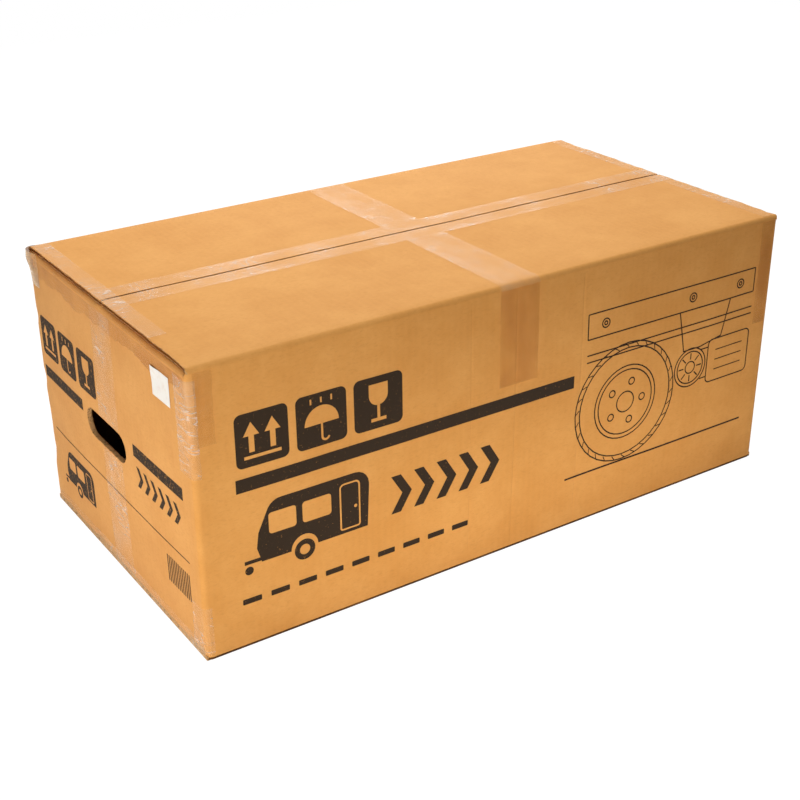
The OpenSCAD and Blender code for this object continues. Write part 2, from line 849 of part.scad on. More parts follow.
// Cam and its shaft, with a hexagon for a wheel brace
module cam_shaft(side) {
    at = [cam_u, bolt_b_w];
    color(zinc)
        at_unit(side) {
            hex_rod(at, cam_hex, side_in - hex_l, hex_l - board_gap);
            rod(at, cam_shaft_d / 2, side_in - hex_l, cam_end_v - side_in + hex_l);
            rod(at, cam_hub_r, side_in + side_t + board_gap, cam_v - side_in - side_t);
            in_depth(cam_v, cam_t)
                translate(at) {
                    circle(cam_hub_r);
                    polygon(concat(
                        [[0, 0]],
                        [for (a = [180 - cam_turn - cam_over : 3 : 180 + cam_over]) polar(cam_radius(a), a)]
                    ));
                }
            rod(at, cam_hub_r, side_end_v + board_gap, cam_end_v - side_end_v - board_gap);
        }
}

// Return spring: one unbroken wire
module return_spring(side) {
    path = spring_path();
    sides = 6;
    rings = [for (i = [0 : len(path) - 1]) tube_ring(path, i, wire_d / 2, sides)];
    last = len(path) - 1;
    echo("return spring least gap", min_gap(path, wire_d, 6));
    color(zinc)
        at_unit(side)
            translate([0, spring_v, spring_w])
                polyhedron(
                    points = [for (r = rings) each r],
                    faces = concat(
                        [[for (k = [0 : sides - 1]) k]],
                        [for (i = [0 : last - 1]) for (k = [0 : sides - 1])
                            [i * sides + k, (i + 1) * sides + k, (i + 1) * sides + (k + 1) % sides]],
                        [for (i = [0 : last - 1]) for (k = [0 : sides - 1])
                            [i * sides + k, (i + 1) * sides + (k + 1) % sides, i * sides + (k + 1) % sides]],
                        [[for (k = [sides - 1 : -1 : 0]) last * sides + k]]
                    )
                );
}

// Outline of the gear case, shrunk for the inside
module case_outline(shrink) {
    hull() {
        translate(roller_at) circle(case_r - shrink);
        translate([roller_u + case_foot_r, roller_w - case_foot]) circle(case_foot_r - shrink);
        for (su = [-1, 1])
            for (sw = [-1, 1])
                translate([motor_u + su * (case_half_l - case_round), motor_w + sw * (case_half_h - case_round)])
                    circle(case_round - shrink);
    }
}

// Screw places: lugs around the roller and two corners by the motor
function lug_places() = concat(
    [for (a = lug_turns) roller_at + polar(lug_out, a)],
    [lug_far, lug_low]
);

// Round lugs, drawn flat
module lug_outline() {
    for (p = lug_places())
        translate(p) circle(lug_r);
}

// Outside of the case and its cover, drawn flat
module case_body_outline() {
    case_outline(0);
    lug_outline();
}

// Gear case, open at the back, with a fixed axle for the idler
module gear_case(side) {
    color(cast_alu)
        at_unit(side)
            difference() {
                union() {
                    difference() {
                        in_depth(case_v, case_wall + case_depth) case_body_outline();
                        in_depth(case_v + case_wall, case_depth + cut)
                            difference() {
                                case_outline(case_wall);
                                lug_outline();
                            }
                    }
                    rod(idler_at, idler_axle_d / 2, case_v + case_wall / 2, case_wall / 2 + case_depth);
                    rod(idler_at, idler_axle_d / 2 + axle_rim, case_v + case_wall / 2,
                        case_wall / 2 + gear_gap - board_gap);
                }
                rod(roller_at, roller_shaft_r + run_fit, case_v - cut, case_wall + 2 * cut);
                rod(motor_at, pinion_shaft_r + board_gap, case_v - cut, case_wall + 2 * cut);
                for (p = lug_places())
                    rod(p, screw_r + run_fit, case_rim_v - 3 * case_screw_d, 3 * case_screw_d + cut);
                for (u = bolt_row)
                    rod([u, flange_bolt_w], screw_r + run_fit, case_v - cut, case_wall + 2 * cut);
            }
}

// Cover of the gear case, with a blind bearing for the roller shaft
module case_cover(side) {
    color(cast_alu)
        at_unit(side)
            difference() {
                in_depth(case_rim_v, case_cover_t) case_body_outline();
                rod(roller_at, roller_shaft_r + run_fit, case_rim_v - cut, case_cover_t - shaft_end_gap + cut);
                for (p = lug_places())
                    rod(p, screw_r + run_fit, case_rim_v - cut, case_cover_t + 2 * cut);
            }
}

// Screws that hold the cover on the case
module case_screws(side) {
    color(zinc)
        at_unit(side)
            for (p = lug_places()) {
                rod(p, screw_r, case_rim_v - 2 * case_screw_d, 2 * case_screw_d + case_cover_t);
                rod(p, screw_head_r, case_rim_v + case_cover_t, screw_head_h);
            }
}

// Outer bearing of the roller, on three posts from the gear case
module bearing_plate(side) {
    posts = concat([for (a = post_turns) roller_at + polar(post_reach, a)], [post_far]);
    color(cast_alu)
        at_unit(side)
            difference() {
                union() {
                    in_depth(0, bearing_t)
                        hull() {
                            translate(roller_at) circle(roller_shaft_r + bearing_rim);
                            for (p = posts)
                                translate(p) circle(post_r + post_rim);
                        }
                    for (p = posts)
                        rod(p, post_r, bearing_t, case_v - bearing_t);
                }
                rod(roller_at, roller_shaft_r + run_fit, -cut, bearing_t + 2 * cut);
            }
}

// Motor with a bearing boss at its far end
module motor(side) {
    color(motor_black)
        at_unit(side)
            difference() {
                union() {
                    rod(motor_at, motor_d / 2, case_v - motor_l, motor_l);
                    rod(motor_at, motor_d / 5, case_v - motor_l - motor_boss_l, motor_l);
                }
                rod(motor_at, pinion_shaft_r + run_fit, case_v - pinion_shaft_in - cut, pinion_shaft_in + 2 * cut);
            }
}

// Box outline around the motor, shrunk for the inside
module cover_outline(shrink) {
    l = motor_cover_l - 2 * shrink;
    h = motor_cover_h - 2 * shrink;
    translate([motor_u - l / 2, motor_w - h / 2])
        polygon(rounded([[0, 0], [l, 0], [l, h], [0, h]], cover_round - shrink));
}

// Cover over the motor, open towards the gear case
module motor_cover(side) {
    color(black_plastic)
        at_unit(side)
            difference() {
                in_depth(case_v - motor_cover_d, motor_cover_d) cover_outline(0);
                in_depth(case_v - motor_cover_d + cover_wall, motor_cover_d) cover_outline(cover_wall);
            }
}

// Hollow end cap beside the motor cover, with a rim and a shallow front recess
module motor_end_cap(side) {
    u = motor_u + motor_cover_l / 2;
    w = motor_w - motor_cover_h / 2 + end_step;
    h = motor_cover_h - 2 * end_step;
    v = case_v - motor_cover_d + 2 * end_step;
    d = motor_cover_d - 2 * end_step;
    color(black_plastic)
        at_unit(side)
            difference() {
                union() {
                    translate([u, v, w])
                        cube([end_cap_l, d, h]);
                    translate([u + end_cap_l - end_rim_l, v - end_step / 2, w - end_step / 2])
                        cube([end_rim_l, d + end_step / 2, h + end_step]);
                }
                translate([u - cut, v + cover_wall, w + cover_wall])
                    cube([end_cap_l - cover_wall + cut, d - 2 * cover_wall, h - 2 * cover_wall]);
            }
}

// Ribbed roller, extruded with six long pockets
module roller(side) {
    body_r = roller_d / 2 - rib_h;
    pocket_r = (body_r + roller_shaft_r) / 2 + 1;
    pockets = 6;
    pocket_size = (body_r - roller_shaft_r) / 2 - 1;
    color(bare_alu)
        at_unit(side)
            in_depth(roller_v, roller_l)
                translate(roller_at)
                    difference() {
                        union() {
                            circle(body_r);
                            for (k = [0 : roller_ribs - 1])
                                rotate(k * 360 / roller_ribs)
                                    translate([body_r - rib_h, -rib_w / 2])
                                        square([2 * rib_h, rib_w]);
                        }
                        circle(roller_shaft_r + run_fit);
                        for (k = [0 : pockets - 1])
                            translate(polar(pocket_r, k * 360 / pockets))
                                circle(pocket_size);
                    }
}

// Shaft of the roller, from the bearing plate into the case cover
module roller_shaft(side) {
    color(zinc)
        at_unit(side)
            rod(roller_at, roller_shaft_r, shaft_end_gap, case_rim_v + case_cover_t - 3 * shaft_end_gap);
}

// Gear on the roller shaft
module roller_gear(side) {
    color(gear_steel)
        at_unit(side)
            in_depth(gear_v, gear_w)
                translate(roller_at)
                    difference() {
                        polygon(gear_outline(roller_teeth));
                        circle(roller_shaft_r + run_fit);
                    }
}

// Idler gear on the axle of the case
module idler_gear(side) {
    color(gear_steel)
        at_unit(side)
            in_depth(gear_v, gear_w)
                translate(idler_at)
                    difference() {
                        rotate(idler_phase) polygon(gear_outline(idler_teeth));
                        circle(idler_axle_d / 2 + run_fit);
                    }
}

// Pinion and motor shaft in one piece
module drive_pinion(side) {
    color(gear_steel)
        at_unit(side) {
            in_depth(gear_v, gear_w)
                translate(motor_at)
                    rotate(pinion_phase) polygon(gear_outline(pinion_teeth));
            rod(motor_at, pinion_shaft_r, case_v - pinion_shaft_in, gear_v - case_v + pinion_shaft_in);
        }
}

long_panel(-1);  // front_panel
long_panel(1);  // back_panel
end_panel(-1);  // left_end_panel
end_panel(1);  // right_end_panel
bottom_inner_flap(-1);  // bottom_inner_flap_left
bottom_inner_flap(1);  // bottom_inner_flap_right
bottom_outer_flap(-1);  // bottom_outer_flap_front
bottom_outer_flap(1);  // bottom_outer_flap_back
top_inner_flap(-1);  // top_inner_flap_left
top_inner_flap(1);  // top_inner_flap_right
top_outer_flap(-1);  // top_outer_flap_front
top_outer_flap(1);  // top_outer_flap_back
hand_flap(-1);  // hand_flap_left
hand_flap(1);  // hand_flap_right
flap_tape(-1);  // front_flap_tape
flap_tape(1);  // back_flap_tape
carton_tape();
bare_label();
base_pad();
cross_tube(1);  // cross_tube_front
cross_tube(0);  // cross_tube_back
side_plate(-1, true);  // left_side_plate_outer
side_plate(-1, false);  // left_side_plate_inner
beam_socket(-1);  // left_beam_socket
carriage(-1);  // left_carriage
slide_bolts(-1);  // left_slide_bolts
cam_shaft(-1);  // left_cam_shaft
return_spring(-1);  // left_return_spring
gear_case(-1);  // left_gear_case
case_cover(-1);  // left_case_cover
case_screws(-1);  // left_case_screws
bearing_plate(-1);  // left_bearing_plate
motor(-1);  // left_motor
motor_cover(-1);  // left_motor_cover
motor_end_cap(-1);  // left_motor_end_cap
roller(-1);  // left_roller
roller_shaft(-1);  // left_roller_shaft
roller_gear(-1);  // left_roller_gear
idler_gear(-1);  // left_idler_gear
drive_pinion(-1);  // left_drive_pinion
side_plate(1, true);  // right_side_plate_outer
side_plate(1, false);  // right_side_plate_inner
beam_socket(1);  // right_beam_socket
carriage(1);  // right_carriage
slide_bolts(1);  // right_slide_bolts
cam_shaft(1);  // right_cam_shaft
return_spring(1);  // right_return_spring
gear_case(1);  // right_gear_case
case_cover(1);  // right_case_cover
case_screws(1);  // right_case_screws
bearing_plate(1);  // right_bearing_plate
motor(1);  // right_motor
motor_cover(1);  // right_motor_cover
motor_end_cap(1);  // right_motor_end_cap
roller(1);  // right_roller
roller_shaft(1);  // right_roller_shaft
roller_gear(1);  // right_roller_gear
idler_gear(1);  // right_idler_gear
drive_pinion(1);  // right_drive_pinion
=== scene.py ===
import json
import math
from functools import cache

import bmesh
import bpy
from bpy.props import FloatProperty, FloatVectorProperty, IntProperty, PointerProperty
from mathutils import Matrix, Vector, noise
from mathutils.geometry import tessellate_polygon


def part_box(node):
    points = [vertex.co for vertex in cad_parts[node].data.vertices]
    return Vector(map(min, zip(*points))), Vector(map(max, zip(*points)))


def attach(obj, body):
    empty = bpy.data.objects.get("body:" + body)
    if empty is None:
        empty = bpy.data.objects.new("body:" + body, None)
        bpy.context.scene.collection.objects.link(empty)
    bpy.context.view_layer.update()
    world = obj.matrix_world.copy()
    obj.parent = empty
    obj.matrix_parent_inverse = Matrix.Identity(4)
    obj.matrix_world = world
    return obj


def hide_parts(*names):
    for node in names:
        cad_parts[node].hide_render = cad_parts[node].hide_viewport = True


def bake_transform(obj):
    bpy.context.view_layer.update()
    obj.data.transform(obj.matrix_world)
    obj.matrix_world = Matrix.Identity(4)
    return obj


bl_info = {
    "name": "Packed Mover Carton",
    "version": (1, 0, 0),
    "blender": (4, 5, 0),
    "location": "View3D > Sidebar > Mover Carton",
    "description": "Dresses a taped kraft carton and the caravan mover units packed in it",
    "category": "Object",
}

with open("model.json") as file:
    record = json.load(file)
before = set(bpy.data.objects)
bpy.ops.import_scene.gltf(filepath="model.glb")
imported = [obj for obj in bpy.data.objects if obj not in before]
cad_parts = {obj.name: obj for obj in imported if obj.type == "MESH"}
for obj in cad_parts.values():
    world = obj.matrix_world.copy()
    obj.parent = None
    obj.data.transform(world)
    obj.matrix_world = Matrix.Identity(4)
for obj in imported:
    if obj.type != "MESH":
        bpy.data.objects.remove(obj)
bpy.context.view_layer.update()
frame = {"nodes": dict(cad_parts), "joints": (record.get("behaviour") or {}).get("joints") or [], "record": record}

MM = 0.001

# Faces and levels of the carton, read from the frame, in metres
WALL_LO, WALL_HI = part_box("front_panel")
FLAP_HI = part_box("top_outer_flap_front")[1]
TUCK_LO, TUCK_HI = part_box("top_inner_flap_left")
UNDER_LO, UNDER_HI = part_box("bottom_outer_flap_front")
LABEL_LO, LABEL_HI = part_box("bare_label")
HALF_L = WALL_HI.x
HALF_W = -WALL_LO.y
BOARD = UNDER_HI.z - UNDER_LO.z
FOLD_Z = WALL_HI.z
FLAP_X = FLAP_HI.x
SEAM_Y = -FLAP_HI.y
END_TOP = TUCK_LO.z
END_FOOT = UNDER_HI.z
MOUNTS = {mount["name"]: mount["pos_m"] for mount in frame["record"]["mounts"]}
HOLE_Y, HOLE_Z = MOUNTS["left_hand_hole"][1:]

# Order of the walls round the carton, seen from above, and the way that each one faces
WALLS = ("front", "right", "back", "left")
OUTWARD = {"front": (0, -1), "right": (1, 0), "back": (0, 1), "left": (-1, 0)}
LONG_WALLS = ("front", "back")
SIDES = ((-1, "front"), (1, "back"))
ENDS = ((-1, "left"), (1, "right"))

# Length of the outer fold of the board, a quarter turn, and the mesh steps over it
FOLD_RUN = BOARD * math.pi / 2
FOLD_STEPS = 5

# Edges that turn by more than this are shaded sharp
SHARP = math.radians(38)


def linear(hex_colour):
    """An sRGB hex colour as linear red, green, blue and alpha."""
    shares = [int(hex_colour[i:i + 2], 16) / 255 for i in (1, 3, 5)]
    return tuple(c / 12.92 if c <= 0.04045 else ((c + 0.055) / 1.055) ** 2.4 for c in shares) + (1.0,)


def length_value(name, description, millimetres):
    """A length that a user may change, given in millimetres and kept in metres."""
    return FloatProperty(name=name, description=description, default=millimetres * MM, unit="LENGTH")


def colour_value(name, description, hex_colour):
    """A colour that a user may change."""
    return FloatVectorProperty(
        name=name, description=description, default=linear(hex_colour), size=4, subtype="COLOR", min=0, max=1
    )


class BoardSizes(bpy.types.PropertyGroup):
    """Sizes of the corrugated board and of its wear."""
    corner_radius: length_value("Corner radius", "Outside radius of the upright corners", 6)
    foot_radius: length_value("Foot radius", "Radius of the fold along the bottom edges", 2)
    swell: length_value("Swell", "How far the packed walls bulge in the middle", 1.3)
    unevenness: length_value("Unevenness", "Height of the slow waves in the board", 0.5)
    crease: length_value("Crease", "Depth of the press marks across the front", 0.35)
    dent: length_value("Dent", "Depth of the knocks in the far upright edge", 1.6)
    fray: length_value("Fray", "How far a cut edge wanders", 0.9)
    seam_wear: length_value("Seam wear", "How far each flap edge stands back from the seam", 0.8)
    corner_reach: length_value("Corner reach", "How far the flaps' folds reach over the corners", 2.4)
    liner: length_value("Liner", "Thickness of the paper liners", 0.9)
    flute_pitch: length_value("Flute pitch", "Distance between two flutes", 7.5)
    grid: length_value("Grid", "Mesh step on the walls", 10)
    fine_grid: length_value("Fine grid", "Mesh step round the hand holes", 2.6)
    hole_length: length_value("Hand hole length", "Length of the hand hole", 97)
    hole_height: length_value("Hand hole height", "Height of the hand hole", 32)
    kerf: length_value("Kerf", "Width of the cut round a hand flap", 1)


class FilmSizes(bpy.types.PropertyGroup):
    """Sizes of the packing film."""
    width: length_value("Film width", "Width of the roll", 48)
    lift: length_value("Film lift", "Height of the film over the board", 0.3)
    edge_lap: length_value("Edge lap", "Width of the film that lies on the flaps along the short edges", 18)
    lip: length_value("Lip", "Run of the film that laps over the short edges of the flaps", 9)
    end_band: length_value("End band", "Drop of the film below the short top edges", 17)
    drop: length_value("Drop", "How far the cross strip hangs down the long walls", 103)
    wander: length_value("Wander", "How far a film edge wanders", 0.7)


class PrintSizes(bpy.types.PropertyGroup):
    """Sizes of the print."""
    ink_lift: length_value("Ink lift", "Height of the ink over the board", 0.12)
    line: length_value("Line", "Width of the drawn lines", 1.5)
    mesh: length_value("Print mesh", "Longest edge in the print's mesh", 9)


class SpringSizes(bpy.types.PropertyGroup):
    """Sizes of the return springs."""
    wire: length_value("Wire", "Thickness of the spring wire", 2.4)
    curls: IntProperty(name="Curls", description="Number of curls in a return spring", default=14)


class Colours(bpy.types.PropertyGroup):
    """Colours of the finishes."""
    kraft: colour_value("Kraft", "Outer liner of the board", "#DFA259")
    kraft_shade: colour_value("Kraft shade", "Darker clouds in the outer liner", "#D19147")
    kraft_fleck: colour_value("Kraft fleck", "Fibres that show in the liner", "#A9713A")
    inside: colour_value("Inside", "Inner liner of the board", "#C99B63")
    fluting: colour_value("Fluting", "Medium between the liners", "#B58450")
    # Painted shade: the flute hollows, the hollows of torn edges and the contact shadow at the foot of the long
    # walls
    hollow: colour_value("Hollow", "Shadow between the flutes", "#4A3018")
    film_aired: colour_value("Film with air", "Film with trapped air and dry glue", "#F5E5CB")
    film_wetted: colour_value("Film wetted", "Film whose glue has wetted the paper", "#A85000")
    film_folded: colour_value("Film folded", "Film crushed in layers with paper torn off", "#D8B283")
    # The white crumple lines are partly whitened creases in the film and partly painted glints
    film_crumple_glint: colour_value("Film crumple", "White crumples in the film", "#FBF1E4")
    ink: colour_value("Ink", "Dark brown printing ink", "#312417")
    label: colour_value("Label", "White label paper", "#EDEAE4")
    powder: colour_value("Powder coat", "Black powder coat on the steel", "#1C1C1E")
    zinc: colour_value("Zinc", "Bright zinc plate", "#C5C8C9")
    casting: colour_value("Casting", "Die-cast aluminium", "#B4B7BA")
    extrusion: colour_value("Extrusion", "Extruded aluminium", "#CACCCE")
    gear: colour_value("Gear steel", "Hobbed and oiled steel", "#8B8C8E")
    enamel: colour_value("Enamel", "Baked enamel on the motor", "#242528")
    plastic: colour_value("Plastic", "Moulded black covers", "#17181A")
    floor: colour_value("Floor", "Studio floor", "#F0E8DC")
    room: colour_value("Room", "Warm light that the room sends back", "#FFE2C2")


def settings(group):
    """One of this file's property groups on the scene."""
    return getattr(bpy.context.scene, "mover_" + group)


# Node helpers


def wire(tree, node, inputs):
    """Sets a node's inputs: a socket is linked, and a node lends its first output."""
    for name, value in inputs.items():
        if isinstance(value, bpy.types.Node):
            value = value.outputs[0]
        if isinstance(value, bpy.types.NodeSocket):
            tree.links.new(value, node.inputs[name])
        else:
            node.inputs[name].default_value = value


def add_node(tree, kind, inputs=None, **options):
    """Adds a node with its options and its inputs."""
    node = tree.nodes.new(kind)
    for name, value in options.items():
        setattr(node, name, value)
    wire(tree, node, inputs or {})
    return node


def start_finish(name, **sockets):
    """A new material, its node tree and its shader, with the given sockets set."""
    material = bpy.data.materials.new(name)
    material.use_nodes = True
    shader = material.node_tree.nodes["Principled BSDF"]
    wire(material.node_tree, shader, {socket.replace("_", " "): value for socket, value in sockets.items()})
    return material, material.node_tree, shader


def per_metre(millimetres):
    """Noise scale whose features are about that size."""
    return 1 / (millimetres * MM)


def bands(pitch):
    """Wave scale whose bands repeat at that pitch in metres."""
    return 2 * math.pi / (20 * pitch)


def span(low, high, to_low, to_high):
    """The two ends of a range and what they become."""
    return {"From Min": low, "From Max": high, "To Min": to_low, "To Max": to_high}


def mottled(
    name, tints, tone, mix, depth, gloss=None, stretch=(1, 1, 1), relief=None, relief_gloss=None, **sockets
):
    """A finish of two tints, the second of which comes through in a noise pattern.

    The pattern tone mixes the tints, over the range mix, and sets the roughness, over the range gloss. The
    pattern relief, or else tone, raises the surface by a depth in millimetres. It sets the roughness where
    relief_gloss gives a range.
    """
    material, tree, shader = start_finish(name, **sockets)
    place = add_node(tree, "ShaderNodeTexCoord").outputs["Object"]
    drawn = add_node(tree, "ShaderNodeMapping", {"Vector": place, "Scale": stretch})
    toned = add_node(tree, "ShaderNodeTexNoise", {"Vector": drawn, **tone})
    raised = add_node(tree, "ShaderNodeTexNoise", {"Vector": place, **relief}) if relief else toned
    share = add_node(tree, "ShaderNodeMapRange", {"Value": toned, **mix})
    mixed = add_node(tree, "ShaderNodeMixRGB", {"Fac": share, "Color1": tints[0], "Color2": tints[1]})
    bump = add_node(tree, "ShaderNodeBump", {"Height": raised, "Distance": depth * MM})
    wire(tree, shader, {"Base Color": mixed, "Normal": bump})
    for pattern, ends in ((toned, gloss), (raised, relief_gloss)):
        if ends:
            roughness = add_node(tree, "ShaderNodeMapRange", {"Value": pattern, **ends})
            wire(tree, shader, {"Roughness": roughness})
    return material


# Finishes of the carton


@cache
def kraft_liner(flute_axis):
    """Unbleached kraft liner pressed over flutes.

    It gives the eye a warm matt brown with cloudy patches, short darker fibres and the faint
    washboard of the flutes below, which repeat along flute_axis.
    """
    colours = settings("colours")
    material, tree, shader = start_finish(
        "kraft_liner_" + flute_axis.lower(), Specular_IOR_Level=0.12, Sheen_Weight=0.14, Sheen_Roughness=0.4)
    place = add_node(tree, "ShaderNodeTexCoord").outputs["Object"]
    along = {"X": (0.35, 1, 1), "Y": (1, 0.35, 1)}[flute_axis]
    drawn = add_node(tree, "ShaderNodeMapping", {"Vector": place, "Scale": along})
    clouds = add_node(tree, "ShaderNodeTexNoise", {
        "Vector": place, "Scale": per_metre(55), "Detail": 4.0, "Roughness": 0.55})
    # Real fibres are finer, and these are as coarse as they need to be to show
    fibres = add_node(tree, "ShaderNodeTexNoise", {
        "Vector": drawn, "Scale": per_metre(1.6), "Detail": 4.0, "Roughness": 0.7})
    grain = add_node(tree, "ShaderNodeTexNoise", {
        "Vector": place, "Scale": per_metre(6), "Detail": 3.0, "Roughness": 0.6})
    flutes = add_node(tree, "ShaderNodeTexWave", {
        "Vector": place, "Scale": bands(settings("board").flute_pitch), "Distortion": 0.5, "Detail": 1.0,
        "Detail Scale": 0.4}, bands_direction=flute_axis)
    cloudy = add_node(tree, "ShaderNodeMapRange", {"Value": clouds, **span(0.35, 0.65, 0, 1)})
    showing = add_node(tree, "ShaderNodeMath", {0: flutes.outputs["Fac"], 1: cloudy}, operation="MULTIPLY")
    paper = colours.kraft
    for pattern, ends, tint in (
        (clouds, span(0.35, 0.7, 0, 0.65), colours.kraft_shade),
        (grain, span(0.3, 0.75, 0, 0.3), colours.kraft_shade),
        (showing, span(0, 1, 0, 0.05), colours.kraft_fleck),
        (fibres, span(0.52, 0.8, 0, 0.3), colours.kraft_fleck),
    ):
        share = add_node(tree, "ShaderNodeMapRange", {"Value": pattern, **ends})
        paper = add_node(tree, "ShaderNodeMixRGB", {"Fac": share, "Color1": paper, "Color2": tint})
    gloss = add_node(tree, "ShaderNodeMapRange", {"Value": fibres, **span(0.2, 0.8, 0.72, 0.9)})
    height = add_node(tree, "ShaderNodeMath", {0: fibres, 1: 1.2, 2: showing}, operation="MULTIPLY_ADD")
    bump = add_node(tree, "ShaderNodeBump", {"Height": height, "Distance": 0.025 * MM})
    wire(tree, shader, {"Base Color": paper, "Roughness": gloss, "Normal": bump})
    return material


@cache
def kraft_inner():
    """Inner liner: the same paper unprinted, a little duller and greyer, with longer fibres."""
    colours = settings("colours")
    # Coarser than real fibres, to show
    fibres = {"Scale": per_metre(4), "Detail": 5.0, "Roughness": 0.7}
    return mottled(
        "kraft_inner_liner", (colours.inside, colours.kraft_fleck), fibres, span(0.45, 0.75, 0, 0.5), 0.08,
        gloss=span(0.2, 0.8, 0.78, 0.92), Specular_IOR_Level=0.25)


@cache
def fluted_edge(axis, middle_z):
    """Cut edge across the flutes: a waved paper line between two liners, with painted shade in the hollows between
    the flutes.
    """
    colours = settings("colours")
    board = settings("board")
    material, tree, shader = start_finish("fluted_cut_edge_" + axis.lower(), Roughness=0.9)
    place = add_node(tree, "ShaderNodeTexCoord").outputs["Object"]
    parts = add_node(tree, "ShaderNodeSeparateXYZ", {"Vector": place}).outputs
    turn = 2 * math.pi / board.flute_pitch
    reach = BOARD / 2 - 1.5 * board.liner
    angle = add_node(tree, "ShaderNodeMath", {0: parts[axis], 1: turn}, operation="MULTIPLY")
    wave = add_node(tree, "ShaderNodeMath", {0: angle}, operation="SINE")
    crest = add_node(tree, "ShaderNodeMath", {0: wave, 1: reach, 2: middle_z}, operation="MULTIPLY_ADD")
    away = add_node(tree, "ShaderNodeMath", {0: parts["Z"], 1: crest}, operation="SUBTRACT")
    gap = add_node(tree, "ShaderNodeMath", {0: away}, operation="ABSOLUTE")
    ends = span(0.5 * board.liner, 0.8 * board.liner, 0, 1)
    hollow = add_node(tree, "ShaderNodeMapRange", {"Value": gap, **ends})
    edge = add_node(tree, "ShaderNodeMixRGB", {
        "Fac": hollow, "Color1": colours.fluting, "Color2": colours.hollow})
    bump = add_node(tree, "ShaderNodeBump", {"Height": hollow, "Distance": -0.8 * MM})
    wire(tree, shader, {"Base Color": edge, "Normal": bump})
    return material


@cache
def torn_edge():
    """Torn paper on a cut: pale ragged fibres over painted shade in the hollows, rough and dry."""
    colours = settings("colours")
    tears = {"Scale": per_metre(5), "Detail": 5.0, "Roughness": 0.75}
    return mottled(
        "torn_board_edge", (colours.inside, colours.hollow), tears, span(0.5, 0.62, 0, 0.75), 0.6,
        Roughness=0.92)


@cache
def painted_foot_shadow():
    """Bottom fold of the long walls: painted contact shadow in the dark flute-shadow colour, with paler streaks
    along the fold.
    """
    colours = settings("colours")
    pale_patches = {"Scale": per_metre(4), "Detail": 4.0}
    return mottled(
        "painted_shadow_kraft_fold", (colours.hollow, colours.kraft_fleck), pale_patches, span(0.45, 0.75, 0, 0.35), 0.1,
        stretch=(0.12, 1, 1), Roughness=0.9, Specular_IOR_Level=0.1)


@cache
def packing_film(state):
    """Clear polypropylene packing film over glue.

    Aired film lies on dry paper and looks a little milky and pale. Crumpled film is the same over an
    upright edge, with lines all over. Wetted film has glue soaked into the paper and looks like a richer
    brown, and pressed film has less of it. Folded film is crushed in several layers and looks nearly
    opaque. All have faint drawn streaks, white crumple lines in patches, which are partly whitened creases
    and partly painted glints, and a gloss that the paper lacks.
    """
    colours = settings("colours")
    # Tint, least and most cover, strength of the crumples, how calm it is between them, and shine
    tint, thin, thick, creased, calm, shine = {
        "aired": (colours.film_aired, 0.1, 0.2, 0.6, 0.46, 0.1),
        "crumpled": (colours.film_aired, 0.1, 0.22, 0.55, 0.3, 0.15),
        "folded": (colours.film_folded, 0.8, 0.95, 0.7, 0.46, 0.2),
        "wetted": (colours.film_wetted, 0.13, 0.24, 0.08, 0.46, 0.05),
        "pressed": (colours.film_wetted, 0.07, 0.15, 0.15, 0.4, 0.05),
    }[state]
    material, tree, shader = start_finish(
        "packing_film_" + state, IOR=1.49, Roughness=0.24, Specular_IOR_Level=shine)
    run = add_node(tree, "ShaderNodeAttribute", attribute_name="film_run").outputs["Vector"]
    drawn = add_node(tree, "ShaderNodeMapping", {"Vector": run, "Scale": (0.05, 1, 1)})
    crushed = add_node(tree, "ShaderNodeMapping", {"Vector": run, "Scale": (1, 0.2, 1)})
    streaks = add_node(tree, "ShaderNodeTexNoise", {
        "Vector": drawn, "Scale": per_metre(12), "Detail": 3.0, "Roughness": 0.55})
    crumples = add_node(tree, "ShaderNodeTexNoise", {
        "Vector": crushed, "Scale": per_metre(9), "Detail": 2.0, "Roughness": 0.5, "Distortion": 0.4})
    patches = add_node(tree, "ShaderNodeTexNoise", {"Vector": run, "Scale": per_metre(45), "Detail": 2.0})
    centred = add_node(tree, "ShaderNodeMath", {0: crumples, 1: 0.5}, operation="SUBTRACT")
    away = add_node(tree, "ShaderNodeMath", {0: centred}, operation="ABSOLUTE")
    lines = add_node(tree, "ShaderNodeMapRange", {"Value": away, **span(0, 0.03, creased, 0)})
    where = add_node(tree, "ShaderNodeMapRange", {"Value": patches, **span(calm, calm + 0.16, 0, 1)})
    # White crumple lines: partly whitened creases, partly painted glints
    white = add_node(tree, "ShaderNodeMath", {0: lines, 1: where}, operation="MULTIPLY")
    colour = add_node(tree, "ShaderNodeMixRGB", {
        "Fac": white, "Color1": tint, "Color2": colours.film_crumple_glint})
    veil = add_node(tree, "ShaderNodeMapRange", {"Value": streaks, **span(0.3, 0.7, thin, thick)})
    patchy = add_node(tree, "ShaderNodeMapRange", {"Value": patches, **span(0.4, 0.6, 0.45, 1)})
    uneven = add_node(tree, "ShaderNodeMath", {0: veil, 1: patchy}, operation="MULTIPLY")
    cover = add_node(tree, "ShaderNodeMath", {0: uneven, 1: white}, operation="MAXIMUM")
    height = add_node(tree, "ShaderNodeMath", {0: crumples, 1: 0.8, 2: streaks}, operation="MULTIPLY_ADD")
    bump = add_node(tree, "ShaderNodeBump", {"Height": height, "Distance": 0.25 * MM})
    wire(tree, shader, {"Base Color": colour, "Alpha": cover, "Normal": bump})
    return material


@cache
def flexo_ink(name, bare_from):
    """Water-based printing ink on kraft: flat dark brown, with pinholes where the paper shows."""
    colours = settings("colours")
    # Coarser than real pinholes, to show
    pinholes = {"Scale": per_metre(2.5), "Detail": 3.0, "Roughness": 0.7}
    return mottled(
        "flexo_ink_" + name, (colours.ink, colours.kraft_shade), pinholes,
        span(bare_from, bare_from + 0.16, 0, 0.55), 0.03, Roughness=0.7, Specular_IOR_Level=0.12)


